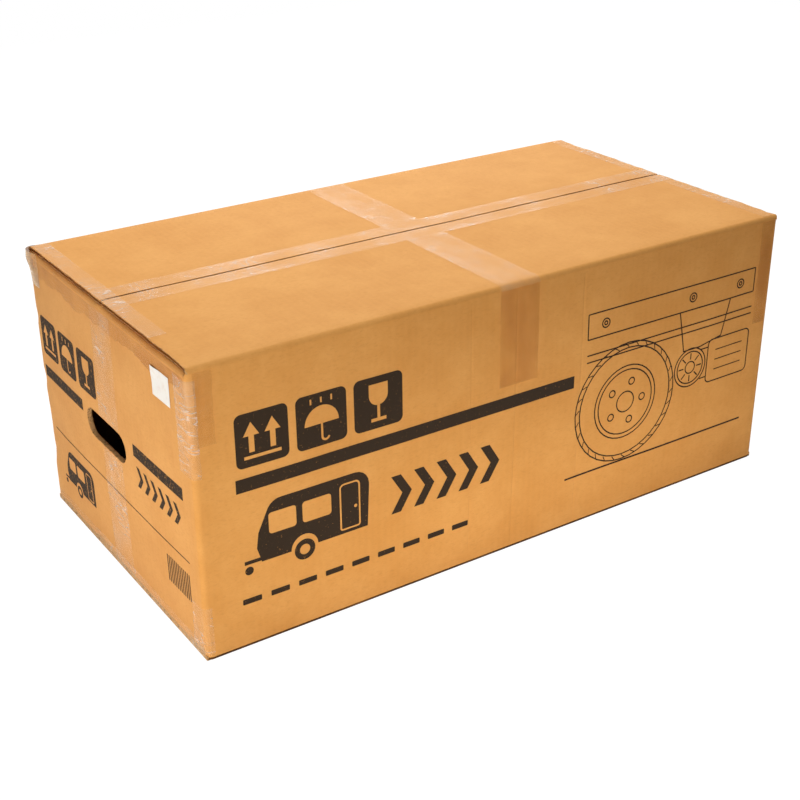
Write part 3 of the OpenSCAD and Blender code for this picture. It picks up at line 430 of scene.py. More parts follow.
@cache
def label_paper():
    """Coated white label paper, smooth, with faint grey handling marks."""
    colours = settings("colours")
    smears = {"Scale": per_metre(9), "Detail": 4.0, "Roughness": 0.7}
    return mottled(
        "coated_label_paper", (colours.label, colours.inside), smears, span(0.5, 0.8, 0, 0.35), 0.05,
        Roughness=0.45)


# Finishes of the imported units


@cache
def powder_coat():
    """Black polyester powder coat on steel: satin, with a fine orange peel and dusty patches."""
    colours = settings("colours")
    peel = {"Scale": per_metre(1.6), "Detail": 2.0}
    dust = {"Scale": per_metre(40), "Detail": 5.0, "Roughness": 0.6}
    return mottled(
        "powder_coated_steel", (colours.powder, colours.zinc), dust, span(0.45, 0.75, 0, 0.1), 0.05,
        gloss=span(0.3, 0.7, 0.36, 0.52), relief=peel)


@cache
def zinc_plate():
    """Bright zinc plate on steel: cool grey metal with cloudy passivation and patches of gloss from rubbing."""
    colours = settings("colours")
    clouds = {"Scale": per_metre(8), "Detail": 4.0, "Roughness": 0.6}
    return mottled(
        "zinc_plated_steel", (colours.zinc, colours.gear), clouds, span(0.4, 0.75, 0, 0.4), 0.02,
        gloss=span(0.3, 0.7, 0.24, 0.42), Metallic=1.0)


@cache
def die_casting():
    """Die-cast and shot-blasted aluminium: pale grey with a fine matt grain and flow marks."""
    colours = settings("colours")
    # Coarser than blasting grit, to show
    grain = {"Scale": per_metre(1.2), "Detail": 3.0, "Roughness": 0.7}
    flow = {"Scale": per_metre(30), "Detail": 4.0, "Distortion": 1.5}
    return mottled(
        "die_cast_aluminium", (colours.casting, colours.gear), flow, span(0.4, 0.7, 0, 0.35), 0.06,
        relief=grain, relief_gloss=span(0.3, 0.7, 0.42, 0.58), Metallic=1.0)


@cache
def extrusion():
    """Extruded aluminium, turned to length: fine lines along the draw, here along Y."""
    colours = settings("colours")
    # Coarser than real draw lines, to show
    lines = {"Scale": per_metre(1.5), "Detail": 3.0, "Roughness": 0.6}
    return mottled(
        "extruded_aluminium", (colours.extrusion, colours.gear), lines, span(0.35, 0.7, 0, 0.3), 0.04,
        gloss=span(0.3, 0.7, 0.25, 0.42), stretch=(1, 0.03, 1), Metallic=1.0)


@cache
def hobbed_steel():
    """Hobbed and oiled gear steel: darker metal with tool lines and a thin oil sheen."""
    colours = settings("colours")
    # Coarser than the hob's real feed, to show
    tool_lines = {"Scale": per_metre(1), "Detail": 3.0}
    return mottled(
        "hobbed_gear_steel", (colours.gear, colours.enamel), tool_lines, span(0.3, 0.7, 0, 0.6), 0.03,
        gloss=span(0.3, 0.7, 0.26, 0.4), stretch=(1, 0.08, 1), Metallic=1.0, Coat_Weight=0.3,
        Coat_Roughness=0.12)


@cache
def baked_enamel():
    """Baked black enamel on the motor can: glossy, slightly wavy, with dust."""
    colours = settings("colours")
    waves = {"Scale": per_metre(6), "Detail": 2.0}
    return mottled(
        "baked_enamel", (colours.enamel, colours.casting), waves, span(0.5, 0.8, 0, 0.12), 0.05,
        gloss=span(0.3, 0.7, 0.22, 0.36), Coat_Weight=0.4, Coat_Roughness=0.08)


@cache
def moulded_abs():
    """Moulded black ABS with a spark-eroded texture: dull, evenly pitted, paler where rubbing has worn it."""
    colours = settings("colours")
    # Coarser than the real pits, to show
    pits = {"Scale": per_metre(0.9), "Detail": 2.0, "Roughness": 0.6}
    pale_patches = {"Scale": per_metre(25), "Detail": 5.0, "Roughness": 0.65}
    return mottled(
        "moulded_abs", (colours.plastic, colours.casting), pale_patches, span(0.5, 0.8, 0, 0.1), 0.06,
        gloss=span(0.3, 0.7, 0.5, 0.64), relief=pits, IOR=1.53)


# Which finish each of the record's material slots takes
SLOT_FINISH = {
    "kraft_board": kraft_inner,
    "kraft_inside": kraft_inner,
    "black_powder_coat": powder_coat,
    "zinc_plate": zinc_plate,
    "cast_aluminium": die_casting,
    "bare_aluminium": extrusion,
    "gear_steel": hobbed_steel,
    "motor_black": baked_enamel,
    "black_plastic": moulded_abs,
}


# Mesh helpers


def ease(t):
    """Smooth step from 0 to 1."""
    t = min(max(t, 0.0), 1.0)
    return t * t * (3 - 2 * t)


def ripple(a, b, seed, size_mm):
    """Smooth seeded noise from -1 to 1 over a plane, with features of that size."""
    return noise.noise(Vector((a * per_metre(size_mm), b * per_metre(size_mm), seed)))


def spread(low, high, step):
    """Evenly spaced values from low to high, about step apart."""
    count = max(1, math.ceil(abs(high - low) / step - 0.001))
    return [low + (high - low) * i / count for i in range(count + 1)]


def arc(x, z, radius, start, end, step=12):
    """Points on an arc, angles in degrees."""
    turns = spread(start, end, step)
    return [(x + radius * math.cos(math.radians(t)), z + radius * math.sin(math.radians(t))) for t in turns]


def marks(low, high, step, zones=()):
    """Values from low to high, step apart, and closer within zones of (start, end, finer step)."""
    stops = [low]
    for start, end, finer in sorted(zones):
        if start > stops[-1]:
            stops += spread(stops[-1], start, step)[1:]
        stops += spread(stops[-1], end, finer)[1:]
    if high > stops[-1]:
        stops += spread(stops[-1], high, step)[1:]
    return stops


class Skin:
    """Collects points and faces of one piece, with a finish number for each face."""

    def __init__(self):
        self.points = []
        self.faces = []
        self.finish = []
        self.run = []

    def add(self, points):
        """Adds points and returns the number of the first."""
        first = len(self.points)
        self.points += [tuple(p) for p in points]
        return first

    def face(self, numbers, finish):
        """Adds one face."""
        self.faces.append(tuple(numbers))
        self.finish.append(finish)

    def grid(self, rows, finish, flip=False):
        """Adds a sheet from rows of points and returns its point numbers, row by row."""
        wide = len(rows[0])
        numbers = []
        for row in rows:
            first = self.add(row)
            numbers.append(range(first, first + wide))
        for low, high in zip(numbers, numbers[1:]):
            for i in range(wide - 1):
                corners = (low[i], low[i + 1], high[i + 1], high[i])
                self.face(reversed(corners) if flip else corners, finish)
        return numbers

    def plate(self, top, bottom, finishes):
        """Adds a closed plate between two grids of the same shape.

        finishes are those of the top, the bottom, the edge of the first row, of the last row and of the
        sides.
        """
        over = self.grid(top, finishes[0])
        under = self.grid(bottom, finishes[1], flip=True)
        for row, finish, turn in ((0, finishes[2], False), (-1, finishes[3], True)):
            for i in range(len(top[0]) - 1):
                corners = (over[row][i + 1], over[row][i], under[row][i], under[row][i + 1])
                self.face(reversed(corners) if turn else corners, finish)
        for column, turn in ((0, False), (-1, True)):
            for k in range(len(top) - 1):
                corners = (over[k][column], over[k + 1][column], under[k + 1][column], under[k][column])
                self.face(reversed(corners) if turn else corners, finishes[4])

    def film(self, place, length, width, seed, finish, step=6 * MM, across=6 * MM):
        """Adds a strip of film: place gives a point from the run along the strip and the run across it.

        step and across are the mesh steps along and across it.
        """
        rows = []
        for u in spread(0, length, step):
            row = [(u, v) for v in spread(0, width, across)]
            rows.append([place(u, v) for u, v in row])
            self.run += [(u, v, seed) for u, v in row]
        self.grid(rows, finish)

    def piece(self, name, finishes, body, slot, nodes=(), close=False):
        """Makes the object, lets it ride on a body and hides the nodes that it stands for."""
        mesh = bpy.data.meshes.new(name)
        mesh.from_pydata(self.points, [], self.faces)
        for material in finishes:
            mesh.materials.append(material)
        mesh.polygons.foreach_set("material_index", self.finish)
        if self.run:
            run = mesh.attributes.new("film_run", "FLOAT_VECTOR", "POINT")
            run.data.foreach_set("vector", [c for point in self.run for c in point])
        if close:
            shell = bmesh.new()
            shell.from_mesh(mesh)
            bmesh.ops.recalc_face_normals(shell, faces=shell.faces)
            shell.to_mesh(mesh)
            shell.free()
        mesh.shade_smooth()
        mesh.set_sharp_from_angle(angle=SHARP)
        piece = bpy.data.objects.new(name, mesh)
        bpy.context.scene.collection.objects.link(piece)
        if body:
            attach(piece, body)
        if nodes:
            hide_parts(*nodes)
        return piece


# Surface of the carton, shared by the board, the film and the print

# Press marks across the front, as shares of the carton's length from its left end
CREASES = tuple(-HALF_L + share * 2 * HALF_L for share in (0.419, 0.496, 0.615))
CREASE_WIDTH = 1.2 * MM
CREASE_FADE = 12 * MM
# How far from a wall's edges its waves and its bulge are at their full height
EDGE_CALM = 30 * MM
SWELL_REACH = 110 * MM
# How far from the seam the flaps slump
SLUMP_REACH = 60 * MM
# Nicks in the far upright edge: level and reach in millimetres
NICKS = ((226, 12), (152, 15), (64, 20), (96, 60))


def half_width(wall):
    """Half of a wall's length."""
    return HALF_L if wall in LONG_WALLS else HALF_W


def wall_levels(wall):
    """Lowest and highest level of a wall's skin."""
    return (0.0, FOLD_Z) if wall in LONG_WALLS else (END_FOOT, END_TOP)


def wall_swell(wall, a, z, creased=True):
    """How far a wall stands out of its plane at a place along it and a height."""
    board = settings("board")
    inset = half_width(wall) - abs(a)
    low, high = wall_levels(wall)
    upright = min(z - low, high - z)
    bulge = board.swell * ease(inset / SWELL_REACH) * ease(upright / SWELL_REACH)
    calm = ease(inset / EDGE_CALM) * ease(upright / EDGE_CALM)
    waves = board.unevenness * calm * ripple(a, z, 5.3 * WALLS.index(wall), 85)
    if wall != "front" or not creased:
        return bulge + waves
    pressed = sum(math.exp(-((a - crease) / CREASE_WIDTH) ** 2) for crease in CREASES)
    return bulge + waves - board.crease * pressed * ease(upright / CREASE_FADE)


def dented(point):
    """A point on the carton, pushed in where the far upright edge was knocked."""
    push = 0.0
    for level, reach in NICKS:
        away = (point - Vector((-HALF_L, HALF_W, level * MM))).length
        push += settings("board").dent * ease(1 - away / (reach * MM))
    return point + Vector((push, -push, 0)) * math.sqrt(0.5)


def wall_point(wall, a, z, lift=0.0, creased=True):
    """Point on a wall, lifted out of it."""
    out = wall_swell(wall, a, z, creased) + lift
    across = HALF_W if wall in LONG_WALLS else HALF_L
    x, y = OUTWARD[wall]
    reach = across + out
    point = Vector((x * reach, y * reach, z))
    if wall in LONG_WALLS:
        point.x = a
    else:
        point.y = a
    return dented(point)


def fold_in(rise):
    """How far the skin draws in at a height over its lower edge, where it folds under."""
    radius = settings("board").foot_radius
    if rise >= radius:
        return 0.0
    return radius - math.sqrt(max(radius ** 2 - (radius - rise) ** 2, 0))


def flap_sag(x, y):
    """Slow waves of the closed flaps, level at their folds."""
    calm = ease((FLAP_X - abs(x)) / EDGE_CALM + 0.25) * ease((HALF_W - abs(y)) / EDGE_CALM - 0.2)
    slump = ripple(x, 0.0, 21.7, 160) * ease(1 - abs(y) / SLUMP_REACH)
    return settings("board").unevenness * calm * (1.2 * ripple(x, y, 11.1, 120) + 0.8 * slump)


def flap_place(side, x, run, lift=0.0):
    """Point on an outer flap from the run over its fold and top, with the top's waves."""
    radius = BOARD + lift
    if run < FOLD_RUN:
        angle = run / BOARD
        inward = BOARD - radius * math.cos(angle)
        rise = radius * math.sin(angle)
    else:
        inward = BOARD + run - FOLD_RUN
        rise = radius
    y = side * (HALF_W - inward)
    return Vector((x, y, FOLD_Z + rise + (flap_sag(x, y) if run > FOLD_RUN else 0.0)))


# Run of an outer flap from the foot of its fold to the seam
FLAP_RUN = FOLD_RUN + HALF_W - BOARD - SEAM_Y


# Pieces of the carton

# Extent of the finer mesh on each side of a press mark, and of a hand hole beside it and above and below it
CREASE_ZONE = 3 * MM
HOLE_BESIDE = 5 * MM
HOLE_ABOVE = 4 * MM
# Mesh steps in the turn of an upright corner, and the share of it in which its height changes
CORNER_STEPS = 5
CORNER_SHARE = 0.4
# Height of the strip of painted contact shadow at the foot of the long walls, in radii of their bottom fold
SHADOW_BAND = 1.4
# Mesh steps of the bottom flaps along and across, and how far they lie below their full thickness
BOTTOM_GRID = 30 * MM
BOTTOM_CROSS_GRID = 20 * MM
BOTTOM_GAP = 0.2 * MM
# Worn ends of the outer flaps: extent and step of the finer mesh, droop and its reach, and the run of the
# fold that reaches over the corners
FLAP_END = 12 * MM
FLAP_END_GRID = 2 * MM
DROOP = 0.9 * MM
DROOP_REACH = 9 * MM
CORNER_RUN = 16 * MM
# How far the medium and the lower liner stand back at those ends
MEDIUM_BACK = 2.4 * MM
LOWER_BACK = 0.6 * MM


def in_hole(a, z):
    """Distance from the hand hole's outline, negative inside it, and the nearest point of its spine."""
    board = settings("board")
    spine = board.hole_length / 2 - board.hole_height / 2
    near = min(max(a, HOLE_Y - spine), HOLE_Y + spine)
    return math.hypot(a - near, z - HOLE_Z) - board.hole_height / 2, near


def hole_edge(a, z, seed):
    """A point of the mesh beside the hand hole, moved onto its outline, which is frayed at the bottom."""
    board = settings("board")
    near = in_hole(a, z)[1]
    way = Vector((a - near, z - HOLE_Z)).normalized()
    torn = ease(-way.y + 0.2)
    reach = board.hole_height / 2 + board.fray * torn * (ripple(a, z, seed, 5) + 0.5 * ripple(a, z, seed, 2))
    return near + way.x * reach, HOLE_Z + way.y * reach


def wall_stations():
    """Stations round the carton: a wall with a place along it, or a corner with its angle."""
    board = settings("board")
    radius = board.corner_radius
    fine = [(c - CREASE_ZONE, c + CREASE_ZONE, CREASE_WIDTH / 2) for c in CREASES]
    beside = board.hole_length / 2 + HOLE_BESIDE
    hole = [(HOLE_Y - beside, HOLE_Y + beside, board.fine_grid)]
    stations = []
    for turn, wall in enumerate(WALLS):
        reach = half_width(wall) - radius
        zones = {"front": fine, "back": []}.get(wall, hole)
        places = marks(-reach, reach, board.grid, zones)
        if wall in ("back", "left"):
            places.reverse()
        stations += [(wall, a, None) for a in places]
        for step in range(1, CORNER_STEPS):
            stations.append((wall, None, math.radians(90 * turn - 90 + 90 * step / CORNER_STEPS)))
    return stations


def corner_point(wall, angle, z_share, lift):
    """Point on the rounded corner that follows a wall."""
    radius = settings("board").corner_radius
    following = WALLS[(WALLS.index(wall) + 1) % 4]
    turned = (angle - math.radians(90 * WALLS.index(wall) - 90)) / (math.pi / 2)
    # The corner keeps the height of the long wall for most of its turn
    turned -= (1 - CORNER_SHARE) if wall in LONG_WALLS else 0
    share = ease(turned / CORNER_SHARE)
    low, high = (
        first + (second - first) * share
        for first, second in zip(wall_levels(wall), wall_levels(following))
    )
    z = low + (high - low) * z_share
    draw = fold_in(z - low) if lift == 0 else 0.0
    middle = math.radians(90 * WALLS.index(wall) - 45)
    x = math.copysign(HALF_L - radius, math.cos(middle))
    y = math.copysign(HALF_W - radius, math.sin(middle))
    out = Vector((math.cos(angle), math.sin(angle), 0))
    return dented(Vector((x, y, z)) + out * (radius + lift - draw))


def wall_skin():
    """The wall's stations, levels, heights as shares of an end, and cells left open at the hand holes."""
    board = settings("board")
    foot_zone = (END_FOOT, END_FOOT + 2 * board.foot_radius, board.foot_radius / 3)
    hole_foot = HOLE_Z - board.hole_height / 2 - HOLE_ABOVE
    hole_top = HOLE_Z + board.hole_height / 2 + HOLE_ABOVE
    levels = marks(END_FOOT, END_TOP, board.grid, [foot_zone, (hole_foot, hole_top, board.fine_grid)])
    shares = [(z - END_FOOT) / (END_TOP - END_FOOT) for z in levels]
    stations = wall_stations()
    open_cells = set()
    for i, (wall, a, _) in enumerate(stations):
        follower = stations[(i + 1) % len(stations)]
        if wall in LONG_WALLS or a is None or follower[1] is None:
            continue
        for j in range(len(levels) - 1):
            if in_hole((a + follower[1]) / 2, (levels[j] + levels[j + 1]) / 2)[0] < 0:
                open_cells.add((i, j))
    return stations, levels, shares, open_cells


def around(i, j, count):
    """The four cells round a mesh point."""
    return [((i - 1) % count, j - 1), (i, j - 1), ((i - 1) % count, j), (i, j)]


def build_walls():
    """The four walls as one folded skin of board, with its inside, its rims and its two hand holes."""
    board = settings("board")
    along, across, inner, torn, foot_shadow = range(5)
    stations, levels, shares, open_cells = wall_skin()
    count, tall = len(stations), len(levels)
    skin = Skin()
    for depth in (0.0, -BOARD):
        for i, (wall, a, angle) in enumerate(stations):
            for j, share in enumerate(shares):
                if a is None:
                    skin.add([corner_point(wall, angle, share, depth)])
                    continue
                low, high = wall_levels(wall)
                place, z = a, low + (high - low) * share
                touching = [cell in open_cells for cell in around(i, j, count)]
                if any(touching) and not all(touching):
                    place, z = hole_edge(a, z, 3.1 + 40 * depth)
                draw = fold_in(z - low) if depth == 0 else 0.0
                skin.add([wall_point(wall, place, max(z, -depth), depth - draw)])
    inside = count * tall
    for i, (wall, a, _) in enumerate(stations):
        after = (i + 1) % count
        liner = along if wall in LONG_WALLS else across
        for j in range(tall - 1):
            corners = (i * tall + j, after * tall + j, after * tall + j + 1, i * tall + j + 1)
            if (i, j) not in open_cells:
                # Faces low on the long walls and on their corners take the painted contact shadow
                in_foot_shadow = levels[j] - END_FOOT < SHADOW_BAND * board.foot_radius and (liner == along or a is None)
                skin.face(corners, foot_shadow if in_foot_shadow else liner)
                skin.face([inside + c for c in reversed(corners)], inner)
                continue
            beside = [(i, j - 1), (after, j), (i, j + 1), ((i - 1) % count, j)]
            for k, cell in enumerate(beside):
                if cell not in open_cells:
                    first, second = corners[k], corners[(k + 1) % 4]
                    skin.face((first, second, inside + second, inside + first), torn)
        for j, turn in ((0, True), (tall - 1, False)):
            first, second = i * tall + j, after * tall + j
            rim = (first, second, inside + second, inside + first)
            skin.face(reversed(rim) if turn else rim, torn)
    return skin.piece(
        # The fifth finish is the painted contact shadow along the foot
        "carton_walls", (kraft_liner("X"), kraft_liner("Y"), kraft_inner(), torn_edge(), painted_foot_shadow()),
        "carton", "kraft_board", ("front_panel", "back_panel", "left_end_panel", "right_end_panel"))


def build_bottom_flaps():
    """The two outer bottom flaps, which meet along the middle of the base."""
    board = settings("board")
    for side, name in SIDES:
        outer = HALF_W - board.foot_radius
        rows = [
            [Vector((x, side * y, 0)) for y in spread(outer, SEAM_Y, BOTTOM_CROSS_GRID)]
            for x in spread(-HALF_L, HALF_L, BOTTOM_GRID)
        ]
        raised = [[p + Vector((0, 0, BOARD - BOTTOM_GAP)) for p in row] for row in rows]
        skin = Skin()
        skin.plate(raised, rows, (1, 0, 2, 2, 2))
        skin.piece(
            f"bottom_flap_board_{name}", (kraft_liner("X"), kraft_inner(), torn_edge()), "carton",
            "kraft_board", (f"bottom_outer_flap_{name}",), close=True)


def flap_layer(skin, side, low, high, short, finishes):
    """One paper layer of an outer flap between two heights in the board, with worn ends."""
    board = settings("board")
    runs = marks(0, FLAP_RUN, board.grid, [(0, FOLD_RUN, FOLD_RUN / FOLD_STEPS)])
    if high < BOARD:
        runs = [run for run in runs if run >= FOLD_RUN]
    rows = {low: [], high: []}
    rounding = 0.5 * board.corner_radius
    ends = FLAP_X - short
    zones = [(-ends, FLAP_END - ends, FLAP_END_GRID), (ends - FLAP_END, ends, FLAP_END_GRID)]
    for x in marks(-ends, ends, board.grid, zones):
        near_end = ease(1 - (ends - abs(x)) / DROOP_REACH)
        for level in (low, high):
            row = []
            for run in runs:
                point = flap_place(side, x, run, level - BOARD)
                worn = ripple(point.y, level, 4.0 + x, 14)
                frayed = ripple(point.y, level, 9.0, 4)
                point.z -= DROOP * near_end * (0.4 + worn)
                past = rounding - max(min(HALF_W - abs(point.y), rounding), 0)
                rounded = rounding - math.sqrt(rounding ** 2 - past ** 2)
                reach = board.corner_reach * ease(1 - run / CORNER_RUN) - rounded
                point.x += math.copysign(near_end * reach, x)
                if abs(x) == ends:
                    point.x += board.fray * frayed
                if run == runs[-1]:
                    point.y += side * board.seam_wear * (1 + 0.6 * ripple(x, level, 2.2 + side, 40))
                row.append(point)
            rows[level].append(row)
    skin.plate(rows[high], rows[low], finishes)


def build_top_flaps():
    """The two outer top flaps: liner over the fold, waved medium with its cut edges, and lower liner."""
    board = settings("board")
    for side, name in SIDES:
        skin = Skin()
        flap_layer(skin, side, BOARD - board.liner, BOARD, 0.0, (0, 1, 2, 2, 0))
        flap_layer(skin, side, board.liner, BOARD - board.liner, MEDIUM_BACK, (2, 2, 2, 2, 3))
        flap_layer(skin, side, 0.0, board.liner, LOWER_BACK, (1, 1, 2, 2, 1))
        skin.piece(
            f"top_flap_board_{name}",
            (kraft_liner("X"), kraft_inner(), torn_edge(), fluted_edge("X", FOLD_Z + BOARD / 2)),
            f"{name}_flap", "kraft_board", (f"top_outer_flap_{name}",), close=True)


def build_inner_flaps():
    """The two inner top flaps, folded in over the ends below the outer ones."""
    board = settings("board")
    reach = TUCK_HI.x - TUCK_LO.x
    runs = marks(0, reach - BOARD + FOLD_RUN, board.grid, [(0, FOLD_RUN, FOLD_RUN / FOLD_STEPS)])
    for side, name in ENDS:
        upper, lower = [], []
        for y in spread(TUCK_LO.y, TUCK_HI.y, board.grid):
            top_row, bottom_row = [], []
            for run in runs:
                angle = min(run / BOARD, math.pi / 2)
                inward = BOARD * (1 - math.cos(angle)) + max(run - FOLD_RUN, 0)
                tip = board.fray * ripple(y, 0, 6.0 + side, 9) if inward > reach - MM else 0.0
                x = side * (HALF_L - inward - tip)
                top_row.append(Vector((x, y, TUCK_LO.z + BOARD * math.sin(angle))))
                hidden = side * (HALF_L - max(inward, 0.6 * BOARD) - tip)
                bottom_row.append(Vector((hidden, y, TUCK_LO.z)))
            upper.append(top_row)
            lower.append(bottom_row)
        skin = Skin()
        skin.plate(upper, lower, (0, 1, 2, 2, 3))
        skin.piece(
            f"inner_flap_board_{name}",
            (kraft_liner("Y"), kraft_inner(), torn_edge(), fluted_edge("Y", TUCK_LO.z + BOARD / 2)),
            f"{name}_inner_flap", "kraft_inside", (f"top_inner_flap_{name}",), close=True)


def build_hand_flaps():
    """The flaps cut from the hand holes, liner outside, modelled shut and folded in to where they hang."""
    board = settings("board")
    radius = board.hole_height / 2 - board.kerf
    spine = (board.hole_length - board.hole_height) / 2
    outline = arc(HOLE_Y + spine, HOLE_Z, radius, -90, 90, 6)
    outline += arc(HOLE_Y - spine, HOLE_Z, radius, 90, 270, 6)
    count = len(outline)
    folds = {joint["child"]: joint for joint in frame["joints"]}
    for side, name in ENDS:
        fold = folds[f"{name}_hand_flap"]
        hinge = Vector(fold["pos_m"])
        turn = Matrix.Rotation(-math.radians(fold["range_deg"][0]), 3, Vector(fold["axis"]))
        skin = Skin()
        for x in (HALF_L, HALF_L - BOARD):
            shut = [Vector((side * x, y, z)) for y, z in outline]
            skin.add([hinge + turn @ (point - hinge) for point in shut])
        skin.face(range(count), 0)
        skin.face(range(2 * count - 1, count - 1, -1), 1)
        for i in range(count):
            after = (i + 1) % count
            skin.face((i, after, count + after, count + i), 2)
        skin.piece(
            f"hand_flap_board_{name}", (kraft_liner("Y"), kraft_inner(), torn_edge()), f"{name}_hand_flap",
            "kraft_inside", (f"hand_flap_{name}",), close=True)


# Film and label

# Extra height of the cross strip over the seam's film, and of other film that lies on film
CROSS_LIFT = 0.1 * MM
LAP_LIFT = 0.15 * MM
# How far film is cut back from the seam, from the ends of the short edges, from the ends of their lip, and
# from the hand holes
SEAM_BACK = 0.9 * MM
EDGE_BACK = 6 * MM
LIP_BACK = 5 * MM
HOLE_BACK = 1.5 * MM
# The near corner of the top has lost its film, and this share of that edge keeps it
NEAR_SHARE = 0.6
# How far the lip over the short edges stands out, drops and hangs
LIP_OUT = 3.6 * MM
LIP_DROP = 7.6 * MM
LIP_HANG = 1.2 * MM
# Height of the crumples in the lip and along the short edges, and the run over which these grow and over
# which the film's edge strays
LIP_CRUMPLE = 0.7 * MM
EDGE_CRUMPLE = 0.3 * MM
CRUMPLE_RUN = 14 * MM
STRAY_RUN = 4 * MM
# Film along the foot of the ends: its width and how far it starts over the floor
FOOT_BAND = 16 * MM
FOOT_START = 0.5 * MM
# How far the film under the bottom seam lies below the board
UNDER_LIFT = 0.05 * MM
# Finishes of the film on the walls, in the order of their numbers
AIRED, WETTED, CRUMPLED, FOLDED, PRESSED = range(5)
WALL_FILM_STATES = ("aired", "wetted", "crumpled", "folded", "pressed")
# Film that comes round the upright edges onto the front: end, length and finish
FRONT_WRAPS = ((-1, 72 * MM, PRESSED), (1, 120 * MM, WETTED))
# Film over the upright edges of the left end: side, lowest and highest level, how far it stands off, its lap
# on the long wall, and its finish
CORNER_RUNS = (
    (-1, 6 * MM, 58 * MM, 0.5 * MM, 2 * MM, CRUMPLED),
    (-1, 194 * MM, 290 * MM, 0.5 * MM, 2 * MM, CRUMPLED),
    (1, 262 * MM, 300 * MM, 5 * MM, 12 * MM, FOLDED),
)
# Width of that film on the end
CORNER_FLAT = 20 * MM
# Heights of the label's two faces over the film, its mesh step, and the lift and reach of its loose corner
LABEL_FACES = (0.24 * MM, 0.08 * MM)
LABEL_GRID = 3 * MM
LABEL_CURL = 1 * MM
LABEL_CURL_REACH = 14 * MM


def wander(u, seed):
    """How far a film edge strays at a run along it."""
    return settings("film").wander * ripple(u, 0, seed, 17)


def build_flap_film():
    """Film on the outer flaps: along the seam, across the middle and over the short edges."""
    film = settings("film")
    half = film.width / 2
    for side, name in SIDES:
        skin = Skin()

        def along_seam(u, v):
            x = u - FLAP_X
            y = SEAM_Y + SEAM_BACK + (half - SEAM_Y + wander(u, 2.0 + side)) * v / half
            return flap_place(side, x, FLAP_RUN + SEAM_Y - y, film.lift)

        def across_top(u, v):
            run = FLAP_RUN - half - u + SEAM_Y
            return flap_place(side, v - half + wander(u, 5.0), max(run, 0), film.lift + CROSS_LIFT)

        skin.film(along_seam, 2 * FLAP_X, half, 1.0, AIRED, across=4 * MM)
        skin.film(across_top, FLAP_RUN - half + SEAM_Y, film.width, 3.0, AIRED, step=3 * MM)
        for end in (-1, 1):
            length = (NEAR_SHARE if side + end == -2 else 1) * FLAP_RUN - EDGE_BACK

            def along_edge(u, v):
                over = v - film.edge_lap + wander(u, 8.0 + end) * ease(1 - v / STRAY_RUN)
                crumple = EDGE_CRUMPLE * ripple(u, v, 31.0 + end, 6) * ease(v / CRUMPLE_RUN)
                lift = film.lift + LAP_LIFT + crumple
                return flap_place(side, end * (FLAP_X + min(over, 0)), FLAP_RUN - u, lift)

            def lip(u, v):
                point = flap_place(side, end * FLAP_X, FLAP_RUN - u, film.lift + LAP_LIFT)
                turn = v / film.lip * math.pi / 2
                crumple = LIP_CRUMPLE * ripple(u, v, 31.0 + end, 6) * math.sin(turn)
                point.x += end * (LIP_OUT * math.sin(turn) + crumple)
                point.z -= LIP_DROP * (1 - math.cos(turn)) + LIP_HANG * v / film.lip
                return point

            skin.film(along_edge, length, film.edge_lap, 20.0 + end, AIRED, step=4 * MM, across=2 * MM)
            skin.film(lip, FLAP_RUN - LIP_BACK, film.lip, 22.0 + end, WETTED, step=4 * MM, across=1.5 * MM)
        skin.piece(
            f"flap_film_{name}", (packing_film("aired"), packing_film("wetted")), f"{name}_flap",
            "clear_tape", (f"{name}_flap_tape",))


def build_wall_film():
    """Film on the walls: hanging strips, end bands, strips round the hand holes, and the bottom seam."""
    film = settings("film")
    board = settings("board")
    half = film.width / 2
    skin = Skin()
    for wall in LONG_WALLS:

        def hanging(u, v):
            return wall_point(wall, v - half + wander(u, 40.0), FOLD_Z - u, film.lift)

        skin.film(hanging, film.drop, film.width, 41.0, WETTED, step=5 * MM)
    for end, length, finish in FRONT_WRAPS:

        def wrapped(u, v):
            inward = board.corner_radius + v + ease(v / film.edge_lap) * 3 * wander(u, 44.0)
            return wall_point("front", end * (HALF_L - inward), FOLD_Z - u, film.lift)

        skin.film(wrapped, length, film.edge_lap, 45.0 + end, finish, step=4 * MM, across=3 * MM)
    reach = HALF_W - board.corner_radius
    hole_top = HOLE_Z + board.hole_height / 2
    hole_foot = HOLE_Z - board.hole_height / 2
    for wall in ("left", "right"):
        shift = 7.0 * WALLS.index(wall)

        def band(u, v):
            uneven = 0.5 * ripple(u, 0, 50.0 + shift, 45) + 0.25 * ripple(u, 0, 52.0 + shift, 12)
            return wall_point(wall, u - reach, END_TOP - v * (1 + uneven), film.lift)

        def upright(u, v):
            return wall_point(wall, v - half + wander(u, 54.0 + shift), END_TOP - u, film.lift + LAP_LIFT)

        def below_hole(u, v):
            z = hole_foot - HOLE_BACK - u
            return wall_point(wall, v - half + wander(u, 56.0 + shift), max(z, END_FOOT), film.lift)

        def foot(u, v):
            edge = 2 * wander(u, 58.0 + shift) * ease(v / FOOT_BAND)
            return wall_point(wall, u - reach, FOOT_START + v + edge, film.lift)

        skin.film(band, 2 * reach, film.end_band, 51.0 + shift, WETTED, step=5 * MM, across=3 * MM)
        skin.film(upright, END_TOP - hole_top - HOLE_BACK, film.width, 53.0 + shift, AIRED, step=5 * MM)
        skin.film(below_hole, hole_foot - END_FOOT - HOLE_BACK, film.width, 55.0 + shift, AIRED, step=5 * MM)
        skin.film(foot, 2 * reach, FOOT_BAND, 57.0 + shift, AIRED, across=2 * MM)
    corner_strips(skin)

    def under_seam(u, v):
        return Vector((u - HALF_L, v - half, -UNDER_LIFT))

    skin.film(under_seam, 2 * HALF_L, film.width, 70.0, AIRED, step=30 * MM, across=12 * MM)
    skin.piece(
        "wall_film", [packing_film(state) for state in WALL_FILM_STATES], "carton", "clear_tape",
        ("carton_tape",))


